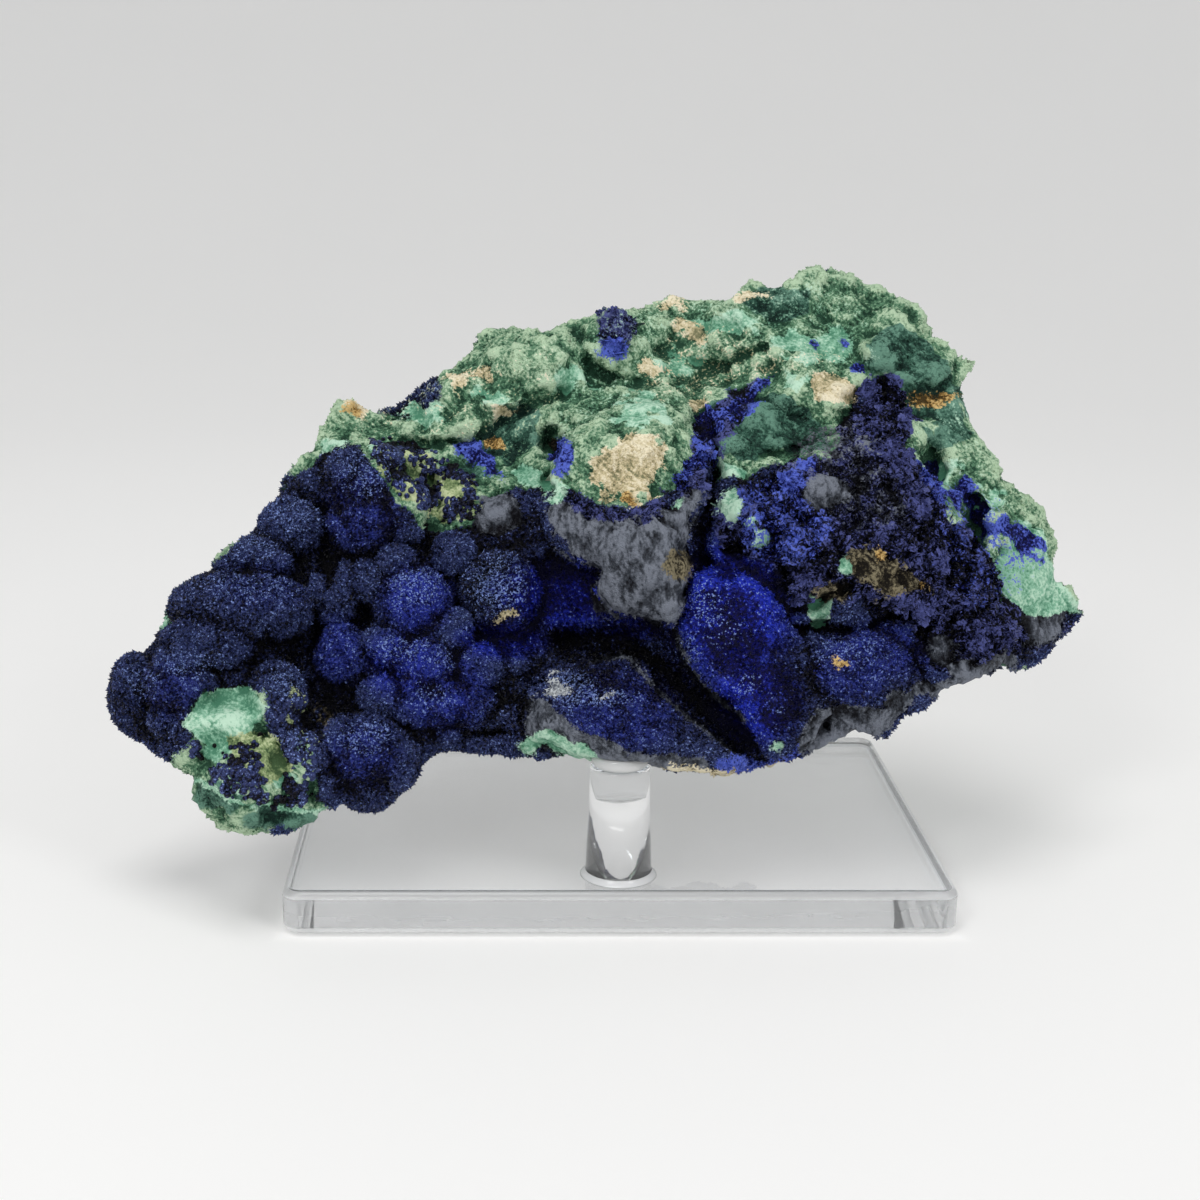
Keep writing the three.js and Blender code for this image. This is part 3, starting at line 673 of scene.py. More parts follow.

# Painted sparkle, pale glints painted on the tops of lobes: (across, up, half width, half height, strength).

SPARKLE_PLACES: list[Place] = [
    (-1, 3, 6, 5.4, 0.86), (40.6, -1, 4, 4, 0.5), (44.6, -6.4, 4.4, 3.4, 0.4), (37, -10, 2.6, 3, 0.4),
    (49, -16.6, 3, 2, 0.5), (54.8, -20.6, 2, 2, 0.9), (14, -18.6, 5, 3.4, 0.9), (21, -20, 6, 2, 0.7),
    (-17, 3, 5, 4, 0.6), (-27, 25, 6, 5, 0.5), (-42, 17, 4.6, 3.4, 0.5), (-50, 10, 5, 3, 0.4),
    (-51, 2.6, 11, 3, 0.35), (-62, -13, 6, 3, 0.5), (-28, -27.6, 6, 3.4, 0.5), (-41, -28.6, 4, 3, 0.4),
    (-20, -9.6, 5, 2.6, 0.5), (-44, -16.6, 4, 3, 0.45), (69, -10.6, 8, 3, 0.4), (94, -4, 5, 3, 0.5),
    (77, 22, 12, 8, 0.55), (62, 12, 6, 6, 0.45), (40, 33, 3, 3, 0.5), (30, 11, 8, 4, 0.5),
    (-72, -16, 4, 3, 0.5), (88, 6, 8, 6, 0.45), (-14.6, -19, 4, 3, 0.4), (-12, -12, 3, 2, 0.5),
]


# Where the ground is painted darker: painted shade on these parts of the front, and the speckled ball's own
# darker tone at the first place: (across, up, half width, half height, strength).

SHADE_AND_DARK_PLACES: list[Place] = [
    (-0.5, 1.5, 8, 8, 1.0), (-27, 19, 11, 12, 0.5), (-73, -20, 8, 8, 0.45), (-36, -2, 7, 22, 0.5),
    (-52, -36, 10, 8, 0.4), (-27, -33, 12, 8, 0.35), (-45, -14, 8, 7, 0.4), (68, 3, 14, 8, 0.6),
    (84, 10, 12, 12, 0.35), (26, -15, 16, 5, 0.6), (94, -8, 12, 8, 0.4), (-18, 12, 8, 4, 0.7),
    (0, -24, 10, 6, 0.6), (50, -19, 14, 11, 0.6), (42, -6, 9, 11, 0.4),
]


# Over what share of a place's half size its edge fades, for soft places, recesses and troughs.

SOFT_EDGE: Place = (0.55, 1.35)
RECESS_EDGE: Place = (0.6, 1.2)
TROUGH_EDGE: Place = (0.2, 1.5)


def strength_at(across: Array, up: Array, places: list[Place]) -> Array:
    """Blend the strengths of soft-edged places.

    Args:
        across: Points' coordinate to the right.
        up: Points' coordinate up the sheet.
        places: (across, up, half width, half height, strength) of each place.

    Returns:
        The strongest influence at each point, 0 to 1.
    """
    strongest = np.zeros(across.shape)
    for middle_across, middle_up, half_width, half_height, strength in places:
        out = np.hypot((across - middle_across) / half_width, (up - middle_up) / half_height)
        strongest = np.maximum(strongest, strength * (1 - eased(*SOFT_EDGE, out)))
    return strongest


@dataclass(frozen=True)
class Sheet:
    """The upright sheet that the stone is laid out on, and the viewing point in front of it."""

    eye: Place = (-22.0, -362.85, 150.95)
    pitch: float = math.radians(15.09)
    distance: float = 370.0

    @property
    def sight(self) -> Array:
        """The direction of the middle line of sight."""
        return np.array((0.0, math.cos(self.pitch), -math.sin(self.pitch)))

    def to_world(self, laid: Array) -> Array:
        """Place points of the layout in the world.

        Args:
            laid: Points as (across, back, up).

        Returns:
            The same points as (x, y, z), in millimetres.
        """
        spread = (self.distance + laid[:, 1:2]) / self.distance
        rise = np.array((0.0, math.sin(self.pitch), math.cos(self.pitch)))
        right = np.array((1.0, 0.0, 0.0))
        reach = laid[:, 0:1] * right + laid[:, 2:3] * rise + self.distance * self.sight
        return np.array(self.eye) + reach * spread


def surface_net(values: Array, origin: Array, step: float) -> tuple[Array, Array]:
    """Mesh the surface where a field on a regular grid is zero, with one vertex a cell.

    Args:
        values: The field, negative inside.
        origin: Place of the grid's first corner.
        step: Distance between grid planes.

    Returns:
        The vertices, and four-sided faces that point outwards.
    """
    inside = values < 0
    cells = tuple(size - 1 for size in values.shape)
    count = np.zeros(cells, np.int8)
    for i, j, k in np.ndindex(2, 2, 2):
        count += inside[i : i + cells[0], j : j + cells[1], k : k + cells[2]]
    crossed = (count > 0) & (count < 8)
    where = np.argwhere(crossed)
    index = np.full(cells, -1, np.int64)
    index[crossed] = np.arange(len(where))
    total = np.zeros((len(where), 3))
    hits = np.zeros(len(where))
    for start in np.ndindex(2, 2, 2):
        for axis in range(3):
            if start[axis]:
                continue
            end = np.array(start)
            end[axis] = 1
            near = values[tuple((where + start).T)]
            far = values[tuple((where + end).T)]
            cut = (near < 0) != (far < 0)
            total[cut] += start
            total[cut, axis] += near[cut] / (near[cut] - far[cut])
            hits += cut
    vertices = origin + (where + total / hits[:, None]) * step
    quads = []
    for axis in range(3):
        one, two = (axis + 1) % 3, (axis + 2) % 3
        low = np.take(inside, range(values.shape[axis] - 1), axis)
        high = np.take(inside, range(1, values.shape[axis]), axis)
        at = np.argwhere(low != high)
        kept = np.ones(len(at), bool)
        for side in (one, two):
            kept &= (at[:, side] > 0) & (at[:, side] < values.shape[side] - 1)
        at = at[kept]
        ring = []
        for back_one, back_two in ((1, 1), (0, 1), (0, 0), (1, 0)):
            cell = at.copy()
            cell[:, one] -= back_one
            cell[:, two] -= back_two
            ring.append(index[tuple(cell.T)])
        quad = np.stack(ring, 1)
        leaving = low[tuple(at.T)]
        quads.append(np.where(leaving[:, None], quad, quad[:, ::-1]))
    return vertices, np.concatenate(quads)


def largest_part(vertices: Array, faces: Array) -> tuple[Array, Array]:
    """Keep the connected part of a mesh that has the most vertices.

    Args:
        vertices: The mesh's vertices.
        faces: Its four-sided faces.

    Returns:
        The vertices and faces of that part.
    """
    label = np.arange(len(vertices))
    while True:
        lowest = label[faces].min(1)
        new = label.copy()
        for corner in range(4):
            np.minimum.at(new, faces[:, corner], lowest)
        new = new[new]
        if np.array_equal(new, label):
            break
        label = new
    names, sizes = np.unique(label, return_counts=True)
    kept = label == names[np.argmax(sizes)]
    renumbered = np.cumsum(kept) - 1
    return vertices[kept], renumbered[faces[kept[faces[:, 0]]]]


def vertex_normals(vertices: Array, faces: Array) -> Array:
    """Average the directions of the faces round each vertex.

    Args:
        vertices: The mesh's vertices.
        faces: Its four-sided faces.

    Returns:
        A unit vector for each vertex.
    """
    first = vertices[faces[:, 2]] - vertices[faces[:, 0]]
    second = vertices[faces[:, 3]] - vertices[faces[:, 1]]
    facing = np.cross(first, second)
    total = np.zeros_like(vertices)
    for axis in range(3):
        for corner in range(4):
            total[:, axis] += np.bincount(faces[:, corner], facing[:, axis], len(vertices))
    return total / np.maximum(np.linalg.norm(total, axis=1), 1e-9)[:, None]


def neighbour_mean(vertices: Array, faces: Array) -> Array:
    """Average each vertex's neighbours along the edges.

    Args:
        vertices: One row of numbers for each vertex.
        faces: The four-sided faces.

    Returns:
        The neighbours' mean for each vertex.
    """
    total = np.zeros_like(vertices)
    count = np.zeros(len(vertices))
    for corner in range(4):
        here = faces[:, corner]
        for other in (faces[:, (corner + 1) % 4], faces[:, corner - 1]):
            count += np.bincount(here, minlength=len(vertices))
            for axis in range(vertices.shape[1]):
                total[:, axis] += np.bincount(here, vertices[other, axis], len(vertices))
    return total / np.maximum(count, 1)[:, None]


def plain_object(name: str, vertices: list[Place], faces: list[list[int]]) -> bpy.types.Object:
    """Make a smooth-shaded mesh object from vertices and faces.

    Args:
        name: Name of the object and its mesh.
        vertices: Vertices in metres.
        faces: Lists of vertex numbers.

    Returns:
        The object, linked to the scene.
    """
    mesh = bpy.data.meshes.new(name)
    mesh.from_pydata(vertices, [], faces)
    mesh.shade_smooth()
    thing = bpy.data.objects.new(name, mesh)
    bpy.context.scene.collection.objects.link(thing)
    return thing


def set_attribute(mesh: bpy.types.Mesh, name: str, values: Array) -> None:
    """Store a number on each vertex of a mesh."""
    attribute = mesh.attributes.new(name, "FLOAT", "POINT")
    attribute.data.foreach_set("value", values.astype(np.float32))


# The body's uneven ground, and what its broken top and back have besides.

ROLLS = Wave(13, 1.5, 3)
BUMPS = Wave(6.5, 0.8, 4)
CRAGS = Wave(9, 3.2, 6, layers=3)
RUBBLE = Wave(3.6, 1.1, 8)

# The slabs' wandering edges and uneven faces.

SLAB_EDGES = (Wave(5, 0.45, 21), Wave(2, 0.25, 22))
SLAB_FACE = Wave(6, 0.4, 24)

# How far the patches' edges wander, across and up.

WANDER_ACROSS = (Wave(3.4, 0.8, 31), Wave(1.5, 0.5, 32))
WANDER_UP = (Wave(3.4, 0.8, 33), Wave(1.5, 0.5, 34))

# The minerals' fine relief. Each pair of weights is for the broad and the small facets.

BALLS = Wave(4.4, 1.15, 71)
GRAINS = Wave(2.1, 0.55, 75)
GRAIN_STEPS = Wave(2.1, 0.25, 75)
SHARDS = Wave(4.6, 1.6, 80, layers=3)
SHARD_SQUEEZE = np.array((1, 1, 1.5))
FLAKES = Wave(2.6, 0.9, 84)
BROAD_FACETS = Wave(6.5, 1.0, 85)
SMALL_FACETS = Wave(2.8, 1.0, 86)
RIDGES = Wave(5.2, 0.7, 88, layers=2)
PITS = Wave(1.5, 0.2, 92)
CREASES = Wave(3.6, 0.6, 98, layers=2)
CREASE_SQUEEZE = np.array((1.6, 1, 0.6))
CRUST_FACETS: Place = (1.1, 0.8)
GREEN_FACETS: Place = (1.3, 0.6)
FRACTURE_FACETS: Place = (0.5, 0.4)


# How the border between azurite and malachite wanders over the back.

BORDER_WANDER = Wave(24, 12.0, 41, layers=3)
BACK_MOTTLE = Wave(15, 0.3, 44, layers=3)


# Noise and range of the broken ground on the back, and of each mineral that shows there.

BACK_BREAKS: tuple[Wave, Place] = (Wave(17, 1.0, 48, layers=3), (0.2, 0.45))
BLOTCHES: dict[Mineral, tuple[Wave, Place]] = {
    Mineral.CREAM: (Wave(11, 1.0, 52, layers=3), (0.42, 0.62)),
    Mineral.DARK_GREEN: (Wave(13, 1.0, 56, layers=2), (0.15, 0.4)),
    Mineral.MINT: (Wave(9, 1.0, 60, layers=2), (0.35, 0.55)),
    Mineral.OCHRE: (Wave(8, 1.0, 64, layers=2), (0.55, 0.7)),
    Mineral.FRACTURE: (Wave(12, 1.0, 68, layers=2), (0.3, 0.5)),
}


@dataclass
class Field:
    """About the distance to a solid's surface over a regular grid, negative inside."""

    low: Place
    high: Place
    step: float
    band: float = 5.0
    outside: float = 9.0
    axes: list[Array] = field(init=False)
    values: Array = field(init=False)

    def __post_init__(self) -> None:
        """Lay out the grid's planes."""
        self.axes = [np.arange(low, high, self.step) for low, high in zip(self.low, self.high)]

    def near(self) -> tuple[tuple[Array, ...], Array]:
        """Find the grid points near the surface.

        Returns:
            Their grid indices and their places.
        """
        where = np.nonzero(np.abs(self.values) < self.band)
        return where, np.stack([axis[index] for axis, index in zip(self.axes, where)], 1)

    def front_at(self, across: float, up: float) -> float:
        """Find how far back the front lies at a place on the sheet.

        Args:
            across: The place's coordinate to the right.
            up: Its coordinate up the sheet.

        Returns:
            The front's coordinate along the back axis.
        """
        i = int(np.searchsorted(self.axes[0], across))
        k = int(np.searchsorted(self.axes[2], up))
        return float(self.axes[1][np.argmax(self.values[i, :, k] < 0)])

    @staticmethod
    def join(values: Array, other: Array, blend: float) -> None:
        """Join another field to part of this one, rounding the crease over the blend distance."""
        mixing = np.clip(0.5 + 0.5 * (values - other) / blend, 0, 1)
        values[...] = values * (1 - mixing) + other * mixing - blend * mixing * (1 - mixing)

    def ellipsoid(self, middle: Place, sizes: Place) -> tuple[tuple[slice, ...], Array]:
        """Give the field of an ellipsoid over the part of the grid round it.

        Args:
            middle: The ellipsoid's middle, (across, back, up).
            sizes: Its half sizes in the same order.

        Returns:
            The part of the grid and the ellipsoid's field there.
        """
        box = []
        out = np.zeros((1, 1, 1))
        for number, (axis, at, half) in enumerate(zip(self.axes, middle, sizes)):
            first = int(np.searchsorted(axis, at - half - self.band))
            last = int(np.searchsorted(axis, at + half + self.band))
            box.append(slice(first, last))
            shape = [1, 1, 1]
            shape[number] = -1
            out = out + (((axis[first:last] - at) / half) ** 2).reshape(shape)
        return tuple(box), ((np.sqrt(out) - 1) * min(sizes)).astype(np.float32)

    def add(self, middle: Place, sizes: Place, blend: float) -> None:
        """Join an ellipsoid to the solid."""
        box, other = self.ellipsoid(middle, sizes)
        self.join(self.values[box], other, blend)

    def cut(self, middle: Place, sizes: Place, blend: float) -> None:
        """Cut an ellipsoid out of the solid.

        Args:
            middle: The ellipsoid's middle, (across, back, up).
            sizes: Its half sizes in the same order.
            blend: Distance over which the rim is rounded.
        """
        box, other = self.ellipsoid(middle, sizes)
        self.values[box] *= -1
        self.join(self.values[box], other, blend)
        self.values[box] *= -1

    def mesh(self) -> tuple[Array, Array]:
        """Mesh the solid's surface, closed where it would meet the grid's edge.

        Returns:
            The vertices and faces of its largest part.
        """
        ends = [0, -1]
        self.values[:, ends, :] = self.outside
        self.values[ends, :, :] = self.outside
        self.values[:, :, ends] = self.outside
        return largest_part(*surface_net(self.values, np.array(self.low), self.step))


@dataclass
class StoneForm:
    """Shape of the stone, and the minerals on its surface."""

    sheet: Sheet
    step: float = 0.86
    low: Place = (-84.0, -46.0, -52.0)
    high: Place = (122.0, 46.0, 72.0)
    front_blend: float = 9.0
    back_blend: float = 20.0
    front_edge: float = 8.0
    back_edge: float = 22.0
    lowest_seam: float = -24.0
    seam_rise: float = 0.38
    thinnest: float = 3.0
    lowest_up: float = -46.0
    post: Place = (0.0, -35.2)
    seat_radius: float = 6.0
    seat_height: float = 33.0
    seat_rim: Place = (6.4, 8.0)
    seat_rise: Place = (33.4, 35.5)
    lobe_proud: float = 0.5
    lobe_blend: float = 1.2
    knob_proud: float = 0.62
    knob_blend: float = 0.7
    slab_blend: float = 0.5
    slab_rim: float = 0.3
    hollow_blend: float = 0.8
    smoothing: float = 0.35
    full_crest: float = 0.09
    full_swell: float = 1.1
    settling: int = 26
    broken_back: Place = (4.0, 12.0)
    broken_top: Place = (22.0, 34.0)
    top_lean: float = 0.1
    turned_away: Place = (0.15, 0.5)
    far_back: Place = (9.0, 14.0)
    just_back: Place = (-2.0, 3.0)
    patch_edge: float = 2.4
    border: Place = (70.0, 30.0)
    border_slope: float = 0.28
    border_share: float = 0.55
    back_azure: Place = (0.12, 0.28)
    matrix_limit: Place = (0.9, 0.4)
    royal_smoothness: float = 0.7
    mint_smoothness: float = 0.65
    crease_depth: float = 0.06
    vertices: Array = field(default_factory=lambda: np.zeros((0, 3)))
    faces: Array = field(default_factory=lambda: np.zeros((0, 4), int))
    laid: Array = field(default_factory=lambda: np.zeros((0, 3)))
    masks: dict[str, Array] = field(default_factory=dict)

    @staticmethod
    def blended(across: Array, up: Array, places: list[Place], radius: float) -> Array:
        """Blend the listed places' backs by how near each is.

        Args:
            across: Points' coordinate to the right.
            up: Points' coordinate up the sheet.
            places: (across, up, back) of each place.
            radius: How far a place's influence reaches.

        Returns:
            The blended back at each point.
        """
        total = np.zeros(across.shape)
        weights = np.zeros(across.shape)
        for place_across, place_up, back in places:
            out = ((across - place_across) ** 2 + (up - place_up) ** 2) / radius**2
            weight = np.exp(-out) + 1e-6 / (1 + out)
            total += weight * back
            weights += weight
        return total / weights

    @staticmethod
    def carved(across: Array, up: Array) -> Array:
        """Work out how much deeper the recesses and troughs lie than the plain front.

        Args:
            across: Points' coordinate to the right.
            up: Points' coordinate up the sheet.

        Returns:
            The depth at each point.
        """
        depth = np.zeros(across.shape)
        for middle_across, middle_up, half_width, half_height, deepest in RECESSES:
            out = np.hypot((across - middle_across) / half_width, (up - middle_up) / half_height)
            depth = np.maximum(depth, deepest * (1 - eased(*RECESS_EDGE, out)))
        for (half_width, deepest), line in TROUGHS:
            out = line_distance(across, up, line) / half_width
            depth = np.maximum(depth, deepest * (1 - eased(*TROUGH_EDGE, out)))
        return depth

    def surfaces(self, across: Array, up: Array, carve: bool = True) -> tuple[Array, Array, Array]:
        """Find the front and back surfaces, which meet at the outline.

        Args:
            across: Points' coordinate to the right.
            up: Points' coordinate up the sheet.
            carve: Whether the recesses and troughs are cut in the front.

        Returns:
            The front's back, the back's back and the distance inside the outline.
        """
        inside = inside_distance(across, up, SPECIMEN_OUTLINE)
        depth = np.maximum(inside, 0)
        front_full = self.blended(across, up, FRONT_PLACES, self.front_blend)
        if carve:
            front_full = front_full + self.carved(across, up)
        back_full = self.blended(across, up, BACK_PLACES, self.back_blend)
        seam = self.lowest_seam + (up - self.lowest_up) * self.seam_rise
        seam = np.maximum(seam, front_full + self.thinnest)
        front_share = np.minimum(1, depth / self.front_edge)
        back_share = np.minimum(1, depth / self.back_edge)
        front = seam - (seam - front_full) * np.sqrt(1 - (1 - front_share) ** 2)
        full = np.maximum(back_full, seam + self.thinnest)
        back = seam + (full - seam) * np.sin(back_share * math.pi / 2)
        return front, back, inside

    def solve(self) -> None:
        """Fill the grid with the stone's field and mesh its surface."""
        grid = Field(self.low, self.high, self.step)
        across, back, up = grid.axes
        flat_across, flat_up = np.meshgrid(across, up, indexing="ij")
        front_map, back_map, inside = self.surfaces(flat_across, flat_up)
        depth = back[None, :, None]
        values = np.maximum(front_map[:, None, :] - depth, depth - back_map[:, None, :])
        values = np.maximum(values, -inside[:, None, :]).astype(np.float32)
        for through, facing in BREAKS:
            past = (across - through[0])[:, None, None] * facing[0]
            past = past + (depth - through[1]) * facing[1]
            past = past + (up - through[2])[None, None, :] * facing[2]
            values = np.maximum(values, past.astype(np.float32))
        grid.values = values
        self.roughen(grid)
        self.add_ledges(grid, flat_across, flat_up)
        self.add_lobes(grid)
        self.add_knobs(grid)
        for middle, sizes in HOLLOWS:
            grid.cut(middle, sizes, self.hollow_blend)
        self.cut_seat(grid)
        self.laid, self.faces = grid.mesh()

    def roughen(self, grid: Field) -> None:
        """Give the body uneven ground, more broken at the top and back.

        Args:
            grid: The stone's field, changed in place.
        """
        where, points = grid.near()
        front = self.surfaces(points[:, 0], points[:, 2])[0]
        behind = eased(*self.broken_back, points[:, 1] - front)
        top = eased(*self.broken_top, points[:, 2] - self.top_lean * points[:, 0])
        height = ROLLS.smooth(points) + BUMPS.smooth(points)
        height += np.maximum(behind, top) * (CRAGS.smooth(points, ridged=True) + RUBBLE.smooth(points))
        grid.values[where] -= height

    def add_ledges(self, grid: Field, across: Array, up: Array) -> None:
        """Join the slabs to the body.

        Args:
            grid: The stone's field, changed in place.
            across: Coordinate to the right over the flat grid.
            up: Coordinate up over the flat grid.
        """
        front_full = self.blended(across, up, FRONT_PLACES, self.front_blend)
        flat = np.stack([across, up, np.zeros_like(across)], -1)
        wander = sum(wave.smooth(flat) for wave in SLAB_EDGES)
        lump = SLAB_FACE.smooth(flat)
        depth = grid.axes[1][None, :, None]
        for ledge in LEDGES.values():
            inside = inside_distance(across, up, ledge.outline) + wander
            share = np.clip(inside / ledge.rounding, 0, 1)
            dome = self.slab_rim + (1 - self.slab_rim) * np.sqrt(1 - (1 - share) ** 2)
            face = (front_full - ledge.proud * dome - lump)[:, None, :]
            root = (front_full + ledge.root)[:, None, :]
            slab = np.maximum(np.maximum(face - depth, depth - root), -inside[:, None, :])
            grid.join(grid.values, slab.astype(np.float32), self.slab_blend)

    def add_lobes(self, grid: Field) -> None:
        """Grow the rounded lobes on the plain front.

        Args:
            grid: The stone's field, changed in place.
        """
        for across, up, half_width, half_height in LOBES:
            front = self.surfaces(np.array([across]), np.array([up]), carve=False)[0][0]
            half_depth = (half_width + half_height) / 2
            middle = (across, float(front) + (1 - self.lobe_proud) * half_depth, up)
            grid.add(middle, (half_width, half_depth, half_height), self.lobe_blend)

    def add_knobs(self, grid: Field) -> None:
        """Grow the small knobs on whatever lies in front at their places.

        Args:
            grid: The stone's field, changed in place.
        """
        for across, up, half_width, half_height in KNOBS:
            half_depth = (half_width + half_height) / 2
            back = grid.front_at(across, up) + (1 - self.knob_proud) * half_depth
            grid.add((across, back, up), (half_width, half_depth, half_height), self.knob_blend)

    def cut_seat(self, grid: Field) -> None:
        """Cut the flat seat that rests on the stand's pad.

        Args:
            grid: The stone's field, changed in place.
        """
        where, points = grid.near()
        world = self.sheet.to_world(points)
        out = np.hypot(world[:, 0] - self.post[0], world[:, 1] - self.post[1]) - self.seat_radius
        bar = np.maximum(out, world[:, 2] - self.seat_height)
        grid.values[where] = np.maximum(grid.values[where], -bar)

    def finish(self) -> None:
        """Place the mesh in the world, work out its minerals and add its fine relief."""
        world = self.sheet.to_world(self.laid)
        seat = self.seat_share(world)
        for _ in range(2):
            pull = neighbour_mean(world, self.faces) - world
            world += self.smoothing * pull * (1 - seat)[:, None]
        normals = vertex_normals(world, self.faces)
        self.find_minerals(world, normals)
        world += normals * (self.relief(world) * (1 - seat))[:, None]
        normals = vertex_normals(world, self.faces)
        # The crest and swell masks paint highlight on crests and bulges and painted shade in hollows, through
        # the colour ramps; crest also says where the druse grows.
        bend = neighbour_mean(world, self.faces) - world
        crest = -(bend * normals).sum(1)
        for _ in range(2):
            crest = neighbour_mean(crest[:, None], self.faces)[:, 0]
        self.masks["crest"] = np.clip(crest / self.full_crest, -1, 1)
        settled = world
        for _ in range(self.settling):
            settled = neighbour_mean(settled, self.faces)
        swell = ((world - settled) * normals).sum(1)
        self.masks["swell"] = np.clip(swell / self.full_swell, -1, 1)
        self.vertices = world

    def seat_share(self, world: Array) -> Array:
        """Mark the flat seat and its rim, which stay as they are cut."""
        out = np.hypot(world[:, 0] - self.post[0], world[:, 1] - self.post[1])
        return (1 - eased(*self.seat_rim, out)) * (1 - eased(*self.seat_rise, world[:, 2]))

    def find_minerals(self, world: Array, normals: Array) -> None:
        """Give every vertex its share of each mineral.

        Args:
            world: Vertices in the world, in millimetres.
            normals: Their directions.
        """
        across, back, up = self.laid.T
        front, _, _ = self.surfaces(across, up)
        away = eased(*self.turned_away, normals @ self.sheet.sight)
        behind = np.maximum(eased(*self.far_back, back - front), away * eased(*self.just_back, back - front))
        wander_across = sum(wave.smooth(world) for wave in WANDER_ACROSS)
        wander_up = sum(wave.smooth(world) for wave in WANDER_UP)
        shares: dict[Mineral, Array] = {}
        for patch in PATCHES:
            shifted = across + patch.ragged * wander_across, up + patch.ragged * wander_up
            depth = patch.inside(*shifted)
            share = patch.strength * np.clip(0.5 + depth / self.patch_edge, 0, 1) * (1 - behind)
            before = shares.get(patch.mineral, np.zeros(across.shape))
            shares[patch.mineral] = np.maximum(before, share)
        for mineral in Mineral:
            self.masks[mineral.value] = shares.get(mineral, np.zeros(across.shape))
        self.dress_back(world, behind)
        self.masks["royal"] = strength_at(across, up, ROYAL_PLACES) * (1 - behind)
        # Painted sparkle: where pale glints are painted on the tops of lobes.
        self.masks["frosting"] = strength_at(across, up, SPARKLE_PLACES) * (1 - behind)
        # Painted shade on parts of the front, and the speckled ball's own darker tone.
        self.masks["dim"] = strength_at(across, up, SHADE_AND_DARK_PLACES) * (1 - behind)
        self.masks["behind"] = behind

    def dress_back(self, world: Array, behind: Array) -> None:
        """Spread the minerals over the sides and back, where the outline gives no places.

        Args:
            world: Vertices in the world, in millimetres.
            behind: How far each vertex belongs to the back.
        """
        height = world[:, 2] + self.border_slope * world[:, 0] + BORDER_WANDER.smooth(world)
        low_left = self.border_share * eased(*self.border, height)
        azure = eased(*self.back_azure, low_left + BACK_MOTTLE.smooth(world))
        broken = eased(*BACK_BREAKS[1], BACK_BREAKS[0].smooth(world))
        self.masks["azurite"] += azure * behind
        self.masks["matrix"] += broken * behind * eased(*self.matrix_limit, azure)
        limits = {Mineral.CREAM: 1 - azure, Mineral.OCHRE: broken, Mineral.FRACTURE: azure}
        for mineral, (wave, onset) in BLOTCHES.items():
            share = behind * eased(*onset, wave.smooth(world))
            self.masks[mineral.value] += share * limits.get(mineral, 1.0)

    def relief(self, world: Array) -> Array:
        """Work out the fine relief of each mineral.

        Args:
            world: Vertices in the world, in millimetres.

        Returns:
            How far to move each vertex outwards.
        """
        azure = self.masks["azurite"] * (1 - self.masks["mint"]) * (1 - self.masks["olive"])
        bladed = self.masks["bladed"]
        broken = np.maximum(self.masks["fracture"], self.masks["cream"])
        royal = self.masks["royal"]
        druse = (BALLS.domed(world) + GRAINS.domed(world)) * (1 - self.royal_smoothness * royal)
        broad = BROAD_FACETS.sloped(world)
        small = SMALL_FACETS.sloped(world)
        crust = SHARDS.smooth(world * SHARD_SQUEEZE, ridged=True) + FLAKES.stepped(world)
        crust += CRUST_FACETS[0] * broad + CRUST_FACETS[1] * small
        green = RIDGES.smooth(world, ridged=True) + GRAIN_STEPS.stepped(world) + PITS.smooth(world)
        green += GREEN_FACETS[0] * broad + GREEN_FACETS[1] * small
        green *= 1 - self.mint_smoothness * self.masks["mint"]
        creases = CREASES.smooth(world * CREASE_SQUEEZE, ridged=True) - self.crease_depth
        fracture = FRACTURE_FACETS[0] * broad + FRACTURE_FACETS[1] * small + creases
        height = green * (1 - azure) + druse * azure
        height = height * (1 - bladed * azure) + crust * bladed * azure
        return height * (1 - broken) + fracture * broken


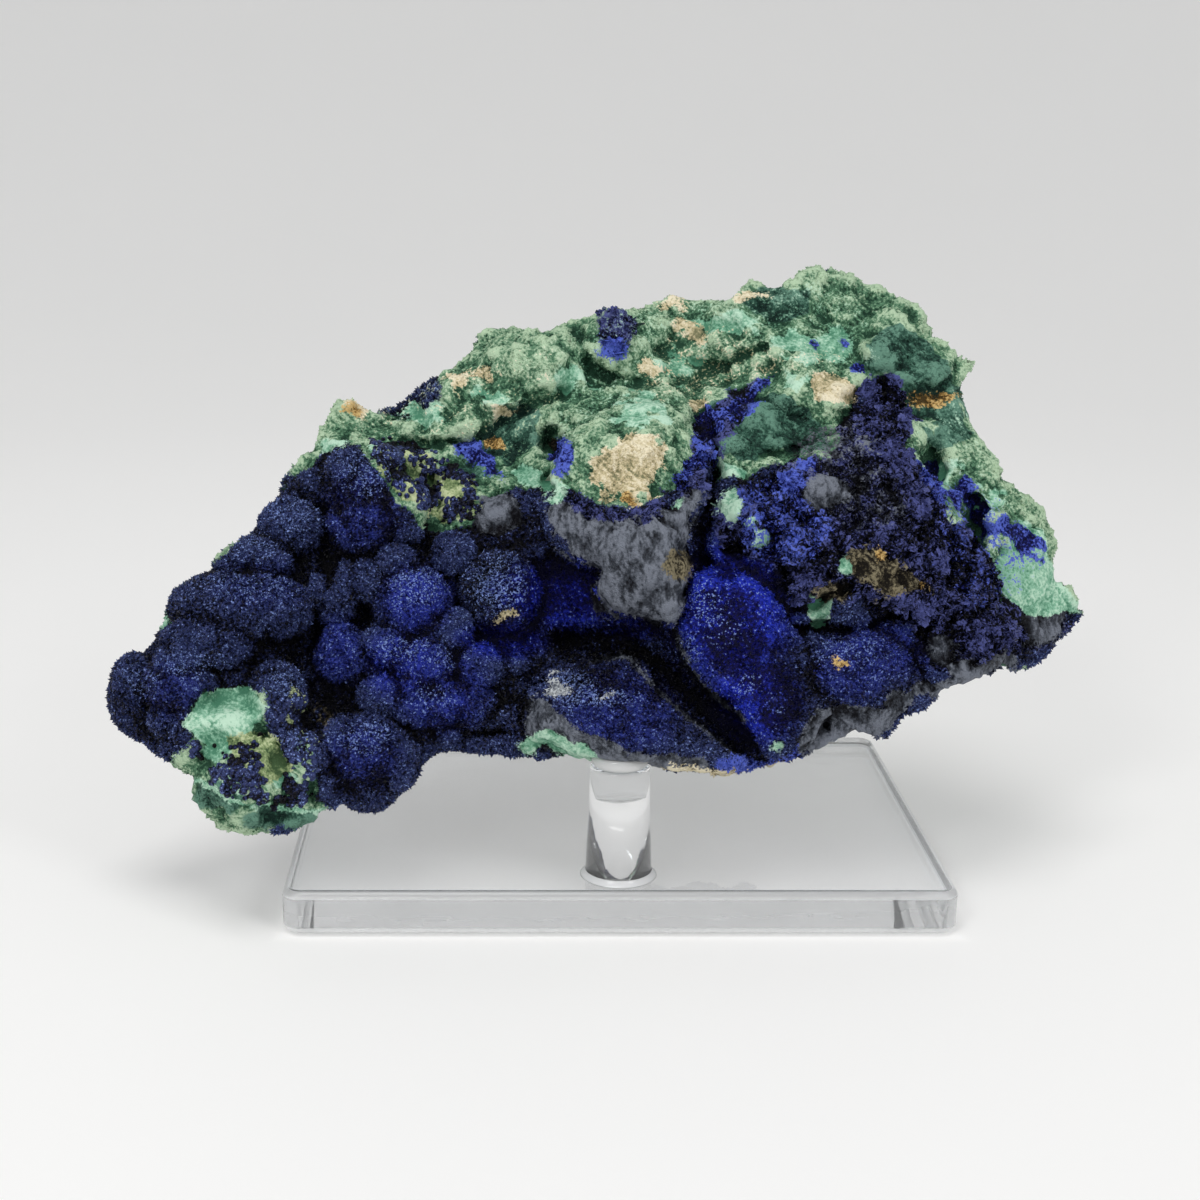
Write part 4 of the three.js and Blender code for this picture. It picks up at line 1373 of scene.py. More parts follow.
class Nodes:
    """Short ways to add and join nodes in one tree."""

    def __init__(self, tree: bpy.types.NodeTree) -> None:
        """Keep the tree."""
        self.tree = tree

    def add(self, kind: str, **settings: object) -> bpy.types.Node:
        """Add a node and set its properties.

        Args:
            kind: The node's type name.
            **settings: Properties of the node.

        Returns:
            The node.
        """
        node = self.tree.nodes.new(kind)
        for key, value in settings.items():
            setattr(node, key, value)
        return node

    def feed(self, node: bpy.types.Node, **inputs: object) -> bpy.types.Node:
        """Give a node's inputs a value or a link, by name or by number after an underscore.

        Args:
            node: The node.
            **inputs: A socket to link from, or a value.

        Returns:
            The node.
        """
        for key, value in inputs.items():
            if key.startswith("_"):
                socket = node.inputs[int(key[1:])]
            else:
                socket = node.inputs[key.replace("_", " ")]
            if isinstance(value, bpy.types.NodeSocket):
                self.tree.links.new(value, socket)
            else:
                socket.default_value = value
        return node

    def math(self, operation: str, *values: object, clamp: bool = False) -> bpy.types.NodeSocket:
        """Do arithmetic on sockets or numbers.

        Args:
            operation: The operation's name.
            *values: Its operands.
            clamp: Whether the result is kept within 0 and 1.

        Returns:
            The result's socket.
        """
        node = self.add("ShaderNodeMath", operation=operation, use_clamp=clamp)
        self.feed(node, **{f"_{number}": value for number, value in enumerate(values)})
        return node.outputs[0]

    def mix(self, share: object, first: object, second: object) -> bpy.types.NodeSocket:
        """Mix two colours by a share."""
        node = self.add("ShaderNodeMix", data_type="RGBA")
        return self.feed(node, _0=share, _6=first, _7=second).outputs[2]

    def blend(self, share: object, first: object, second: object) -> bpy.types.NodeSocket:
        """Mix two numbers by a share."""
        node = self.add("ShaderNodeMix", data_type="FLOAT")
        return self.feed(node, _0=share, _2=first, _3=second).outputs[0]

    def ramp(self, share: bpy.types.NodeSocket, stops: list[tuple[float, Colour]]) -> bpy.types.NodeSocket:
        """Turn a number into a colour.

        Args:
            share: The number.
            stops: Positions and their colours, in order.

        Returns:
            The colour's socket.
        """
        node = self.add("ShaderNodeValToRGB")
        elements = node.color_ramp.elements
        while len(elements) < len(stops):
            elements.new(0.5)
        for element, (position, colour) in zip(elements, stops):
            element.position = position
            element.color = (*colour, 1)
        self.feed(node, _0=share)
        return node.outputs[0]

    def attribute(self, name: str) -> bpy.types.NodeSocket:
        """Read a number stored on the mesh."""
        return self.add("ShaderNodeAttribute", attribute_name=name).outputs["Fac"]

    def stepped(self, value: bpy.types.NodeSocket, low: float, high: float) -> bpy.types.NodeSocket:
        """Rise smoothly from 0 at low to 1 at high, and stay within 0 and 1."""
        node = self.add("ShaderNodeMapRange", interpolation_type="SMOOTHSTEP")
        return self.feed(node, Value=value, From_Min=low, From_Max=high).outputs[0]


def new_material(name: str) -> tuple[bpy.types.Material, Nodes, bpy.types.Node]:
    """Make an empty material with a Principled shader.

    Args:
        name: The material's name.

    Returns:
        The material, its nodes and its shader.
    """
    material = bpy.data.materials.new(name)
    material.use_nodes = True
    material.node_tree.nodes.clear()
    nodes = Nodes(material.node_tree)
    shader = nodes.add("ShaderNodeBsdfPrincipled")
    output = nodes.add("ShaderNodeOutputMaterial")
    nodes.feed(output, Surface=shader.outputs[0])
    return material, nodes, shader


@dataclass(frozen=True)
class Finish:
    """Look of one mineral, from painted shade in its hollows to painted highlight on its crests, over its own
    mottled colour.
    """

    mask: str
    dark: Colour
    middle: Colour
    light: Colour
    roughness: float
    relief: float
    pattern: Pattern
    ragged: float = 0.35


MALACHITE = Finish(
    "", (0.016, 0.054, 0.031), (0.098, 0.222, 0.128), (0.47, 0.63, 0.43), 0.72, 0.9, Pattern.CLOUDS
)

FINISHES: list[Finish] = [
    Finish(
        "dark_green", (0.006, 0.024, 0.018), (0.032, 0.095, 0.066), (0.13, 0.27, 0.2), 0.6, 0.8,
        Pattern.CLOUDS,
    ),
    Finish(
        "azurite", (0.0003, 0.0003, 0.0012), (0.0012, 0.0015, 0.011), (0.032, 0.045, 0.145), 0.5, 1.0,
        Pattern.SPECKS, 0.6,
    ),
    Finish(
        "bladed", (0.0003, 0.0003, 0.0014), (0.0016, 0.002, 0.015), (0.085, 0.1, 0.3), 0.42, 1.2,
        Pattern.SPECKS, 0.7,
    ),
    Finish(
        "fracture", (0.005, 0.005, 0.008), (0.05, 0.057, 0.072), (0.18, 0.198, 0.24), 0.5, 1.0,
        Pattern.FIBRES, 0.9,
    ),
    # Painted glints: a pale colour standing for highlights, not a mineral's own.
    Finish(
        "frost", (0.03, 0.035, 0.06), (0.17, 0.19, 0.24), (0.55, 0.58, 0.6), 0.5, 0.7, Pattern.SPECKS, 1.1
    ),
    Finish(
        "mint", (0.07, 0.22, 0.135), (0.22, 0.45, 0.31), (0.5, 0.72, 0.56), 0.66, 0.5, Pattern.CLOUDS, 0.5
    ),
    Finish(
        "olive", (0.05, 0.095, 0.04), (0.23, 0.31, 0.14), (0.55, 0.62, 0.36), 0.7, 0.7, Pattern.CLOUDS, 0.6
    ),
    Finish(
        "cream", (0.2, 0.2, 0.11), (0.6, 0.51, 0.31), (0.87, 0.79, 0.59), 0.8, 0.9, Pattern.CLOUDS, 0.9
    ),
    Finish(
        "matrix", (0.01, 0.008, 0.006), (0.05, 0.042, 0.026), (0.22, 0.19, 0.12), 0.75, 0.9,
        Pattern.SPECKS, 0.8,
    ),
    Finish(
        "ochre", (0.07, 0.045, 0.015), (0.34, 0.2, 0.06), (0.66, 0.47, 0.2), 0.75, 0.8, Pattern.SPECKS, 0.9
    ),
    Finish(
        "bright", (0.0008, 0.001, 0.02), (0.005, 0.008, 0.12), (0.1, 0.15, 0.62), 0.45, 1.0,
        Pattern.SPECKS, 0.9,
    ),
]


# Where each of the three colours of a mineral, and of the royal blue, sits on its ramp.

MINERAL_STOPS: Place = (0.12, 0.5, 0.92)
ROYAL_STOPS: Place = (0.12, 0.5, 0.95)

# Noises of the stone's material: scale, detail and stretch.

NOISES: dict[str, tuple[float, float, Place]] = {
    "clouds": (420.0, 4.0, (1, 1, 1)),
    "grain": (1700.0, 3.0, (1, 1, 1)),
    "fibres": (900.0, 3.0, (1.0, 0.8, 0.35)),
}
NOISE_TURN: Place = (0.0, 0.6, 0.0)
NOISE_ROUGHNESS = 0.6

# How much each mask on the mesh lightens the colours: tint is a tone of its own, crest and swell paint
# highlight on crests and bulges and painted shade in hollows, and the last mask paints shade and the speckled
# ball's darker tone.

LIGHT_AND_TONE_LIFTS: dict[str, float] = {"tint": 0.4, "crest": 0.2, "swell": 0.36, "dim": -0.34}

# The broad noise of each pattern, with its share and the share of the fine grain.

PATTERN_NOISES: dict[Pattern, tuple[str, float, float]] = {
    Pattern.CLOUDS: ("clouds", 1.2, 1.7),
    Pattern.SPECKS: ("clouds", 0.9, 3.0),
    Pattern.FIBRES: ("fibres", 1.7, 1.0),
}


@dataclass(frozen=True)
class StoneLook:
    """Material of the stone and of the crystals that grow on it."""

    name: str
    specular: float
    shine: float
    sparkle: float = 3600.0
    royal_dark: Colour = (0.0006, 0.0006, 0.016)
    royal_middle: Colour = (0.001, 0.0016, 0.08)
    royal_light: Colour = (0.014, 0.03, 0.44)
    # Painted glints: the pale colour and how it spreads over the druse, standing for highlights.
    frost: Colour = (0.24, 0.34, 0.7)
    sparkle_rise: float = 0.34
    sparkle_grain: float = 0.25
    sparkle_onset: Place = (1.1, 1.24)
    sparkle_cover: float = 0.85
    base: float = 0.3
    edge_grain: float = 0.6
    edge_range: Place = (0.42, 0.58)
    bump: float = 0.75
    bump_cells: float = -0.6
    bump_height: float = 0.0005

    def build(self) -> bpy.types.Material:
        """Build the material.

        Returns:
            The material.
        """
        material, nodes, shader = new_material(self.name)
        place = nodes.add("ShaderNodeTexCoord").outputs["Object"]
        noise = {}
        for name, (scale, detail, stretch) in NOISES.items():
            mapping = nodes.add("ShaderNodeMapping")
            nodes.feed(mapping, Vector=place, Scale=stretch, Rotation=NOISE_TURN)
            texture = nodes.add("ShaderNodeTexNoise")
            nodes.feed(texture, Vector=mapping.outputs[0], Scale=scale, Detail=detail)
            nodes.feed(texture, Roughness=NOISE_ROUGHNESS)
            noise[name] = texture.outputs["Fac"]
        cells = nodes.add("ShaderNodeTexVoronoi")
        nodes.feed(cells, Vector=place, Scale=self.sparkle)
        # Painted light and tone: a random tone plus painted highlight on crests and painted shade in hollows,
        # which sets where each colour ramp is read.
        tone_and_painted_light: object = self.base
        for name, lift in LIGHT_AND_TONE_LIFTS.items():
            tone_and_painted_light = nodes.math("MULTIPLY_ADD", nodes.attribute(name), lift, tone_and_painted_light)
        patterns = {
            pattern: self.pattern(nodes, tone_and_painted_light, noise[broad], broad_share, noise["grain"], fine_share)
            for pattern, (broad, broad_share, fine_share) in PATTERN_NOISES.items()
        }
        broad_edge = nodes.math("MULTIPLY", noise["clouds"], 1 - self.edge_grain)
        wander = nodes.math("MULTIPLY_ADD", noise["grain"], self.edge_grain, broad_edge)
        wander = nodes.math("SUBTRACT", wander, 0.5)
        colour = self.coloured(nodes, MALACHITE, patterns)
        roughness: object = MALACHITE.roughness
        relief: object = MALACHITE.relief
        for finish in FINISHES:
            mask = nodes.attribute(finish.mask)
            edge = nodes.math("MULTIPLY_ADD", wander, finish.ragged * 2, mask)
            share = nodes.stepped(edge, *self.edge_range)
            own = self.coloured(nodes, finish, patterns)
            if finish.mask == "azurite":
                own = self.velvet(nodes, own, patterns, cells.outputs["Color"])
            colour = nodes.mix(share, colour, own)
            roughness = nodes.blend(share, roughness, finish.roughness)
            relief = nodes.blend(share, relief, finish.relief)
        roughness = nodes.math("MULTIPLY", roughness, self.shine)
        nodes.feed(shader, Base_Color=colour, Roughness=roughness)
        shader.inputs["Specular IOR Level"].default_value = self.specular
        height = nodes.math("MULTIPLY_ADD", cells.outputs["Distance"], self.bump_cells, noise["grain"])
        bump = nodes.add("ShaderNodeBump")
        nodes.feed(bump, Height=height, Strength=nodes.math("MULTIPLY", relief, self.bump))
        bump.inputs["Distance"].default_value = self.bump_height
        nodes.feed(shader, Normal=bump.outputs[0])
        return material

    @staticmethod
    def pattern(
        nodes: Nodes, base: object, broad: object, broad_share: float, fine: object, fine_share: float
    ) -> bpy.types.NodeSocket:
        """Add broad and fine noise to a base value.

        Args:
            nodes: The material's nodes.
            base: The value that the noise is added to.
            broad: Coarse noise, 0 to 1.
            broad_share: Strength of the coarse noise.
            fine: Fine noise, 0 to 1.
            fine_share: Strength of the fine noise.

        Returns:
            The sum's socket.
        """
        centred = nodes.math("SUBTRACT", base, (broad_share + fine_share) / 2)
        with_broad = nodes.math("MULTIPLY_ADD", broad, broad_share, centred)
        return nodes.math("MULTIPLY_ADD", fine, fine_share, with_broad)

    @staticmethod
    def coloured(nodes: Nodes, finish: Finish, patterns: dict[Pattern, object]) -> bpy.types.NodeSocket:
        """Turn a mineral's pattern into its colours."""
        colours = (finish.dark, finish.middle, finish.light)
        return nodes.ramp(patterns[finish.pattern], list(zip(MINERAL_STOPS, colours)))

    def velvet(
        self, nodes: Nodes, druse: object, patterns: dict[Pattern, object], speck: object
    ) -> bpy.types.NodeSocket:
        """Turn the druse a saturated blue and add pale painted glints, where the masks say so.

        Args:
            nodes: The material's nodes.
            druse: The druse's plain colour.
            patterns: The patterns to choose from.
            speck: A colour of its own for each tiny crystal face.

        Returns:
            The colour's socket.
        """
        stops = list(zip(ROYAL_STOPS, (self.royal_dark, self.royal_middle, self.royal_light)))
        blue = nodes.mix(nodes.attribute("royal"), druse, nodes.ramp(patterns[Pattern.CLOUDS], stops))
        # Painted glints: pale specks on some crystal faces, more where the sparkle mask is strong.
        parts = nodes.feed(nodes.add("ShaderNodeSeparateColor"), _0=speck)
        lit = nodes.math("MULTIPLY_ADD", nodes.attribute("frosting"), self.sparkle_rise, parts.outputs[0])
        lit = nodes.math("MULTIPLY_ADD", patterns[Pattern.SPECKS], self.sparkle_grain, lit)
        shown = nodes.math("MULTIPLY", nodes.stepped(lit, *self.sparkle_onset), self.sparkle_cover)
        return nodes.mix(shown, blue, (*self.frost, 1))


class Habit(Enum):
    """Shapes that the small crystals take."""

    POINT = "point"
    BLADE = "blade"
    BEAD = "bead"


BEAD_SIDES = 8
BLADE_TOP = 0.28
TINTS: Place = (0.1, 0.95)


@dataclass
class CrystalCoat:
    """Small crystals of one habit that grow on the stone where a mask says so."""

    name: str
    mask: str
    habit: Habit
    per_area: float
    sizes: Place
    proportions: Place
    sink: float
    tilt: float
    seed: int
    own: dict[str, float] = field(default_factory=dict)

    def habit_node(self, nodes: Nodes) -> bpy.types.NodeSocket:
        """Make one crystal, a metre across, to be scaled down.

        Args:
            nodes: The tree's nodes.

        Returns:
            The crystal's geometry socket.
        """
        if self.habit is Habit.BEAD:
            bead = nodes.add("GeometryNodeMeshUVSphere")
            nodes.feed(bead, Segments=BEAD_SIDES, Rings=BEAD_SIDES // 2, Radius=0.5)
            return bead.outputs["Mesh"]
        cone = nodes.add("GeometryNodeMeshCone")
        sides, top = (3, 0.0) if self.habit is Habit.POINT else (4, BLADE_TOP)
        nodes.feed(cone, Vertices=sides, Radius_Top=top, Radius_Bottom=0.5, Depth=1.0)
        return cone.outputs["Mesh"]

    def tree(self, material: bpy.types.Material) -> bpy.types.NodeTree:
        """Build the node tree that scatters the crystals.

        Args:
            material: The crystals' finish.

        Returns:
            The tree.
        """
        tree = bpy.data.node_groups.new(self.name, "GeometryNodeTree")
        face = tree.interface
        face.new_socket("Geometry", in_out="INPUT", socket_type="NodeSocketGeometry")
        for label in ("Crystals Per Area", "Smallest", "Largest"):
            face.new_socket(label, in_out="INPUT", socket_type="NodeSocketFloat")
        face.new_socket("Geometry", in_out="OUTPUT", socket_type="NodeSocketGeometry")
        nodes = Nodes(tree)
        start = nodes.add("NodeGroupInput").outputs
        mask = nodes.add("GeometryNodeInputNamedAttribute", data_type="FLOAT")
        nodes.feed(mask, Name=self.mask)
        density = nodes.math("MULTIPLY", mask.outputs["Attribute"], start["Crystals Per Area"])
        scatter = nodes.add("GeometryNodeDistributePointsOnFaces")
        nodes.feed(scatter, Mesh=start["Geometry"], Density=density, Seed=self.seed)
        size = nodes.add("FunctionNodeRandomValue", data_type="FLOAT")
        nodes.feed(size, Seed=self.seed + 1)
        nodes.tree.links.new(start["Smallest"], size.inputs[2])
        nodes.tree.links.new(start["Largest"], size.inputs[3])
        scale = nodes.add("ShaderNodeVectorMath", operation="SCALE")
        nodes.feed(scale, _0=self.proportions, Scale=size.outputs[1])
        turn = nodes.add("FunctionNodeRandomValue", data_type="FLOAT_VECTOR")
        nodes.feed(turn, _0=(-self.tilt, -self.tilt, 0.0), _1=(self.tilt, self.tilt, math.tau))
        nodes.feed(turn, Seed=self.seed + 2)
        euler = nodes.add("FunctionNodeEulerToRotation")
        nodes.feed(euler, _0=turn.outputs[0])
        turned = nodes.add("FunctionNodeRotateRotation", rotation_space="LOCAL")
        nodes.feed(turned, _0=scatter.outputs["Rotation"], _1=euler.outputs[0])
        shape = nodes.add("GeometryNodeTransform")
        nodes.feed(shape, Geometry=self.habit_node(nodes), Translation=(0.0, 0.0, self.sink))
        grow = nodes.add("GeometryNodeInstanceOnPoints")
        nodes.feed(
            grow, Points=scatter.outputs["Points"], Instance=shape.outputs[0],
            Rotation=turned.outputs[0], Scale=scale.outputs[0],
        )
        shade = nodes.add("FunctionNodeRandomValue", data_type="FLOAT")
        nodes.feed(shade, _2=TINTS[0], _3=TINTS[1], Seed=self.seed + 3)
        keep = nodes.add("GeometryNodeStoreNamedAttribute", data_type="FLOAT", domain="INSTANCE")
        nodes.feed(keep, Geometry=grow.outputs[0], Name="tint", Value=shade.outputs[1])
        real = nodes.add("GeometryNodeRealizeInstances")
        nodes.feed(real, Geometry=keep.outputs[0])
        made = real.outputs[0]
        for name, value in self.own.items():
            store = nodes.add("GeometryNodeStoreNamedAttribute", data_type="FLOAT", domain="POINT")
            nodes.feed(store, Geometry=made, Name=name, Value=value)
            made = store.outputs[0]
        finish = nodes.add("GeometryNodeSetMaterial")
        nodes.feed(finish, Geometry=made, Material=material)
        end = nodes.add("NodeGroupOutput")
        nodes.feed(end, Geometry=finish.outputs[0])
        return tree

    def grow(self, stone: bpy.types.Object, material: bpy.types.Material) -> bpy.types.Object:
        """Grow the coat on the stone.

        Args:
            stone: The stone's object.
            material: The crystals' finish.

        Returns:
            The crystals as one plain mesh object.
        """
        tree = self.tree(material)
        modifier = stone.modifiers.new(self.name, "NODES")
        modifier.node_group = tree
        values = (self.per_area, *self.sizes)
        sockets = [item for item in tree.interface.items_tree if item.in_out == "INPUT"]
        for socket, value in zip(sockets[1:], values):
            modifier[socket.identifier] = float(value)
        graph = bpy.context.evaluated_depsgraph_get()
        mesh = bpy.data.meshes.new_from_object(stone.evaluated_get(graph), depsgraph=graph)
        mesh.name = self.name
        stone.modifiers.remove(modifier)
        mesh.shade_flat()
        crystals = bpy.data.objects.new(self.name, mesh)
        bpy.context.scene.collection.objects.link(crystals)
        return crystals


@dataclass
class Specimen:
    """The stone with the crystals that grow on it."""

    form: StoneForm
    coats: list[CrystalCoat]
    ground: StoneLook = StoneLook("azurite_and_malachite", 0.12, 1.0)
    faces: StoneLook = StoneLook("crystal_faces", 0.2, 0.6)
    clump: Wave = Wave(4, 1.0, 101, layers=2)
    clump_onset: Place = (-0.35, 0.1)
    bare_onset: Place = (0.35, 0.65)
    druse_onset: Place = (0.45, 0.65)
    crest_onset: Place = (-0.7, 0.3)
    dot_onset: Place = (-0.5, 1.5)
    royal_thinning: float = 0.8
    edge: Place = (0.4, 0.6)
    green_limit: Place = (0.3, 0.6)
    pieces: list[bpy.types.Object] = field(default_factory=list)

    def build(self) -> None:
        """Mesh the stone and store its minerals on the mesh."""
        self.form.solve()
        self.form.finish()
        places = (self.form.vertices * MM).tolist()
        stone = plain_object("specimen_stone", places, self.form.faces.tolist())
        self.form.masks["tint"] = np.full(len(self.form.vertices), 0.5)
        for name, values in self.form.masks.items():
            set_attribute(stone.data, name, values)
        for name, values in self.coat_masks().items():
            set_attribute(stone.data, name, values)
        self.pieces.append(stone)

    def coat_masks(self) -> dict[str, Array]:
        """Work out where each coat of crystals grows.

        Returns:
            A share from 0 to 1 for each vertex, for each coat.
        """
        masks = self.form.masks
        seat = self.form.seat_share(self.form.vertices)
        bare = [masks[name] for name in ("mint", "olive", "cream", "fracture", "matrix", "ochre")]
        cover = 1 - eased(*self.bare_onset, np.maximum.reduce(bare))
        azure = eased(*self.druse_onset, masks["azurite"]) * cover * (1 - seat)
        bladed = eased(*self.edge, masks["bladed"])
        high = eased(*self.crest_onset, masks["crest"])
        across, _, up = self.form.laid.T
        inside = np.maximum.reduce([inside_distance(across, up, outline) for outline in BEADED])
        dots = eased(*self.dot_onset, inside) * (1 - masks["behind"])
        clumps = eased(*self.clump_onset, self.clump.smooth(self.form.vertices))
        green = (1 - eased(*self.green_limit, masks["azurite"])) * (1 - seat)
        green *= 1 - eased(*self.edge, masks["mint"])
        return {
            "grow_druse": azure * (1 - bladed) * high * (1 - self.royal_thinning * masks["royal"]),
            "grow_blades": azure * bladed,
            "grow_beads": dots * clumps,
            "grow_green": green * clumps,
        }

    def dress(self) -> None:
        """Give the stone its finish and grow the crystals."""
        stone = self.pieces[0]
        stone.data.materials.append(self.ground.build())
        crystal = self.faces.build()
        for coat in self.coats:
            self.pieces.append(coat.grow(stone, crystal))
        for piece in self.pieces:
            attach(piece, "root")
        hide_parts("specimen")


@dataclass(frozen=True)
class ClearLook:
    """Clear acrylic or glue."""

    name: str
    colour: Colour
    roughness: float
    ior: float
    tint: Colour
    density: float
    smudge: float
    clear: float = 1.0
    satin: float = 0.3
    milky: float = 0.3
    smudge_scale: float = 60.0
    smudge_onset: Place = (0.5, 0.72)
    ripple_scale: float = 140.0
    ripple_strength: float = 0.12
    ripple_height: float = 0.0002

    def build(self) -> bpy.types.Material:
        """Build the material.

        Returns:
            The material.
        """
        material, nodes, shader = new_material(self.name)
        place = nodes.add("ShaderNodeTexCoord").outputs["Object"]
        cloud = nodes.add("ShaderNodeTexNoise")
        nodes.feed(cloud, Vector=place, Scale=self.smudge_scale, Detail=4.0)
        marks = nodes.stepped(cloud.outputs["Fac"], *self.smudge_onset)
        roughness = nodes.math("MULTIPLY_ADD", marks, self.smudge, self.roughness)
        rim = nodes.attribute("satin")
        roughness = nodes.math("MULTIPLY_ADD", rim, self.satin, roughness)
        clear = nodes.math("MULTIPLY_ADD", rim, -self.milky, self.clear)
        nodes.feed(shader, Roughness=roughness, Transmission_Weight=clear)
        shader.inputs["Base Color"].default_value = (*self.colour, 1)
        shader.inputs["IOR"].default_value = self.ior
        ripple = nodes.add("ShaderNodeTexNoise")
        nodes.feed(ripple, Vector=place, Scale=self.ripple_scale, Detail=1.0)
        bump = nodes.add("ShaderNodeBump")
        nodes.feed(bump, Height=ripple.outputs["Fac"])
        bump.inputs["Strength"].default_value = self.ripple_strength
        bump.inputs["Distance"].default_value = self.ripple_height
        nodes.feed(shader, Normal=bump.outputs[0])
        volume = nodes.add("ShaderNodeVolumeAbsorption")
        volume.inputs["Color"].default_value = (*self.tint, 1)
        volume.inputs["Density"].default_value = self.density
        output = material.node_tree.get_output_node("ALL")
        nodes.feed(output, Volume=volume.outputs[0])
        return material


CAST_ACRYLIC = ClearLook(
    "clear_acrylic_cast", (0.985, 0.99, 0.995), roughness=0.0, ior=1.49, tint=(0.94, 0.97, 0.99),
    density=2.0, smudge=0.02, clear=0.9,
)
PUTTY = ClearLook(
    "clear_putty", (0.93, 0.94, 0.94), roughness=0.16, ior=1.45, tint=(0.9, 0.93, 0.94),
    density=5.0, smudge=0.15, clear=0.35,
)
CEMENT = ClearLook(
    "clear_cement", (0.97, 0.98, 0.99), roughness=0.1, ior=1.47, tint=(0.9, 0.94, 0.96),
    density=5.0, smudge=0.05, clear=0.35,
)


def shell_faces(rows: int, sides: int, looped: bool = False) -> list[list[int]]:
    """List the outward faces of a shell of stacked rings of vertices.

    Args:
        rows: Number of rings, from the lowest.
        sides: Number of vertices in a ring.
        looped: Whether the last ring joins the first, or caps close both ends.

    Returns:
        The faces, with the bottom and top caps last.
    """
    faces: list[list[int]] = []
    for row in range(rows if looped else rows - 1):
        low, high = row * sides, ((row + 1) % rows) * sides
        for side in range(sides):
            after = (side + 1) % sides
            faces.append([low + side, low + after, high + after, high + side])
    if not looped:
        faces.append(list(range(sides))[::-1])
        faces.append([(rows - 1) * sides + side for side in range(sides)])
    return faces


def turned_object(name: str, profile: list[Place], middle: Place, sides: int) -> bpy.types.Object:
    """Turn a profile about an upright line.

    Args:
        name: Name of the object.
        profile: (radius, height) from the bottom middle round to the top middle, or a closed
            loop for a ring, in millimetres.
        middle: The line's (x, y), in millimetres.
        sides: Number of steps round.

    Returns:
        The closed object.
    """
    looped = profile[0][0] > 0
    rows = profile if looped else profile[1:-1]
    vertices = []
    for radius, height in rows:
        for angle in np.arange(sides) * (math.tau / sides):
            x, y = middle[0] + radius * math.cos(angle), middle[1] + radius * math.sin(angle)
            vertices.append((x * MM, y * MM, height * MM))
    return plain_object(name, vertices, shell_faces(len(rows), sides, looped))


def arc(middle: Place, radius: float, start: float, end: float, steps: int) -> list[Place]:
    """List points along an arc.

    Args:
        middle: The arc's middle.
        radius: Its radius.
        start: First angle in degrees.
        end: Last angle in degrees.
        steps: Number of stretches.

    Returns:
        The points, both ends among them.
    """
    points = []
    for step in range(steps + 1):
        angle = math.radians(start + (end - start) * step / steps)
        points.append((middle[0] + radius * math.cos(angle), middle[1] + radius * math.sin(angle)))
    return points


@dataclass
class Stand:
    """The clear plate and post, in millimetres."""

    width: float = 127.0
    depth: float = 88.9
    thickness: float = 8.5
    corner: float = 3.5
    edge: float = 1.6
    post: Place = (0.0, -35.2)
    foot_radius: float = 6.35
    head_radius: float = 5.6
    head_height: float = 30.5
    head_edge: float = 0.4
    gap: float = 0.05
    level_tilt: float = 0.97
    side_tilt: float = 0.15
    foot_tilt: float = -0.9
    arc_steps: int = 10
    sides: int = 96
    pieces: list[bpy.types.Object] = field(default_factory=list)

    def plate(self) -> bpy.types.Object:
        """Make the plate with rounded corners and edges.

        Returns:
            The plate's object.
        """
        profile = arc((0, self.edge), self.edge, -90, 0, self.arc_steps)
        profile += arc((0, self.thickness - self.edge), self.edge, 0, 90, self.arc_steps)
        half_width = self.width / 2 - self.corner
        half_depth = self.depth / 2 - self.corner
        rows: list[list[Place]] = []
        for out, height in profile:
            radius = self.corner - self.edge + out
            row: list[Place] = []
            for turn, (side_x, side_y) in enumerate(((1, 1), (-1, 1), (-1, -1), (1, -1))):
                middle = (side_x * half_width, side_y * half_depth)
                for x, y in arc(middle, radius, 90 * turn, 90 * turn + 90, self.arc_steps):
                    row.append((x, y, height))
            rows.append(row)
        vertices = [tuple(value * MM for value in point) for row in rows for point in row]
        return plain_object("acrylic_plate", vertices, shell_faces(len(rows), len(rows[0])))

    def build(self) -> None:
        """Make the plate and the post."""
        bottom = self.thickness + self.gap
        edge = self.head_edge
        profile: list[Place] = [(0, bottom), (self.foot_radius, bottom)]
        profile += arc((self.head_radius - edge, self.head_height - edge), edge, 0, 90, self.arc_steps)
        profile += [(0, self.head_height)]
        self.pieces = [self.plate(), turned_object("acrylic_post", profile, self.post, self.sides)]

    def dress(self) -> None:
        """Make both pieces clear acrylic, milky where the plate is rounded and the post is cemented."""
        material = CAST_ACRYLIC.build()
        for piece, node in zip(self.pieces, ("stand_plate", "stand_post")):
            flat_faces(piece)
            tilts = np.array([polygon.normal.z for polygon in piece.data.polygons])
            if node == "stand_plate":
                dull = (np.abs(tilts) > self.side_tilt) & (np.abs(tilts) < self.level_tilt)
            else:
                dull = tilts < self.foot_tilt
            satin = piece.data.attributes.new("satin", "FLOAT", "FACE")
            satin.data.foreach_set("value", dull.astype(np.float32))
            piece.data.materials.append(material)
            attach(piece, "root")
            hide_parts(node)


def flat_faces(thing: bpy.types.Object) -> None:
    """Keep a piece's large caps flat and their rims crisp."""
    for polygon in thing.data.polygons:
        polygon.use_smooth = len(polygon.vertices) <= 4


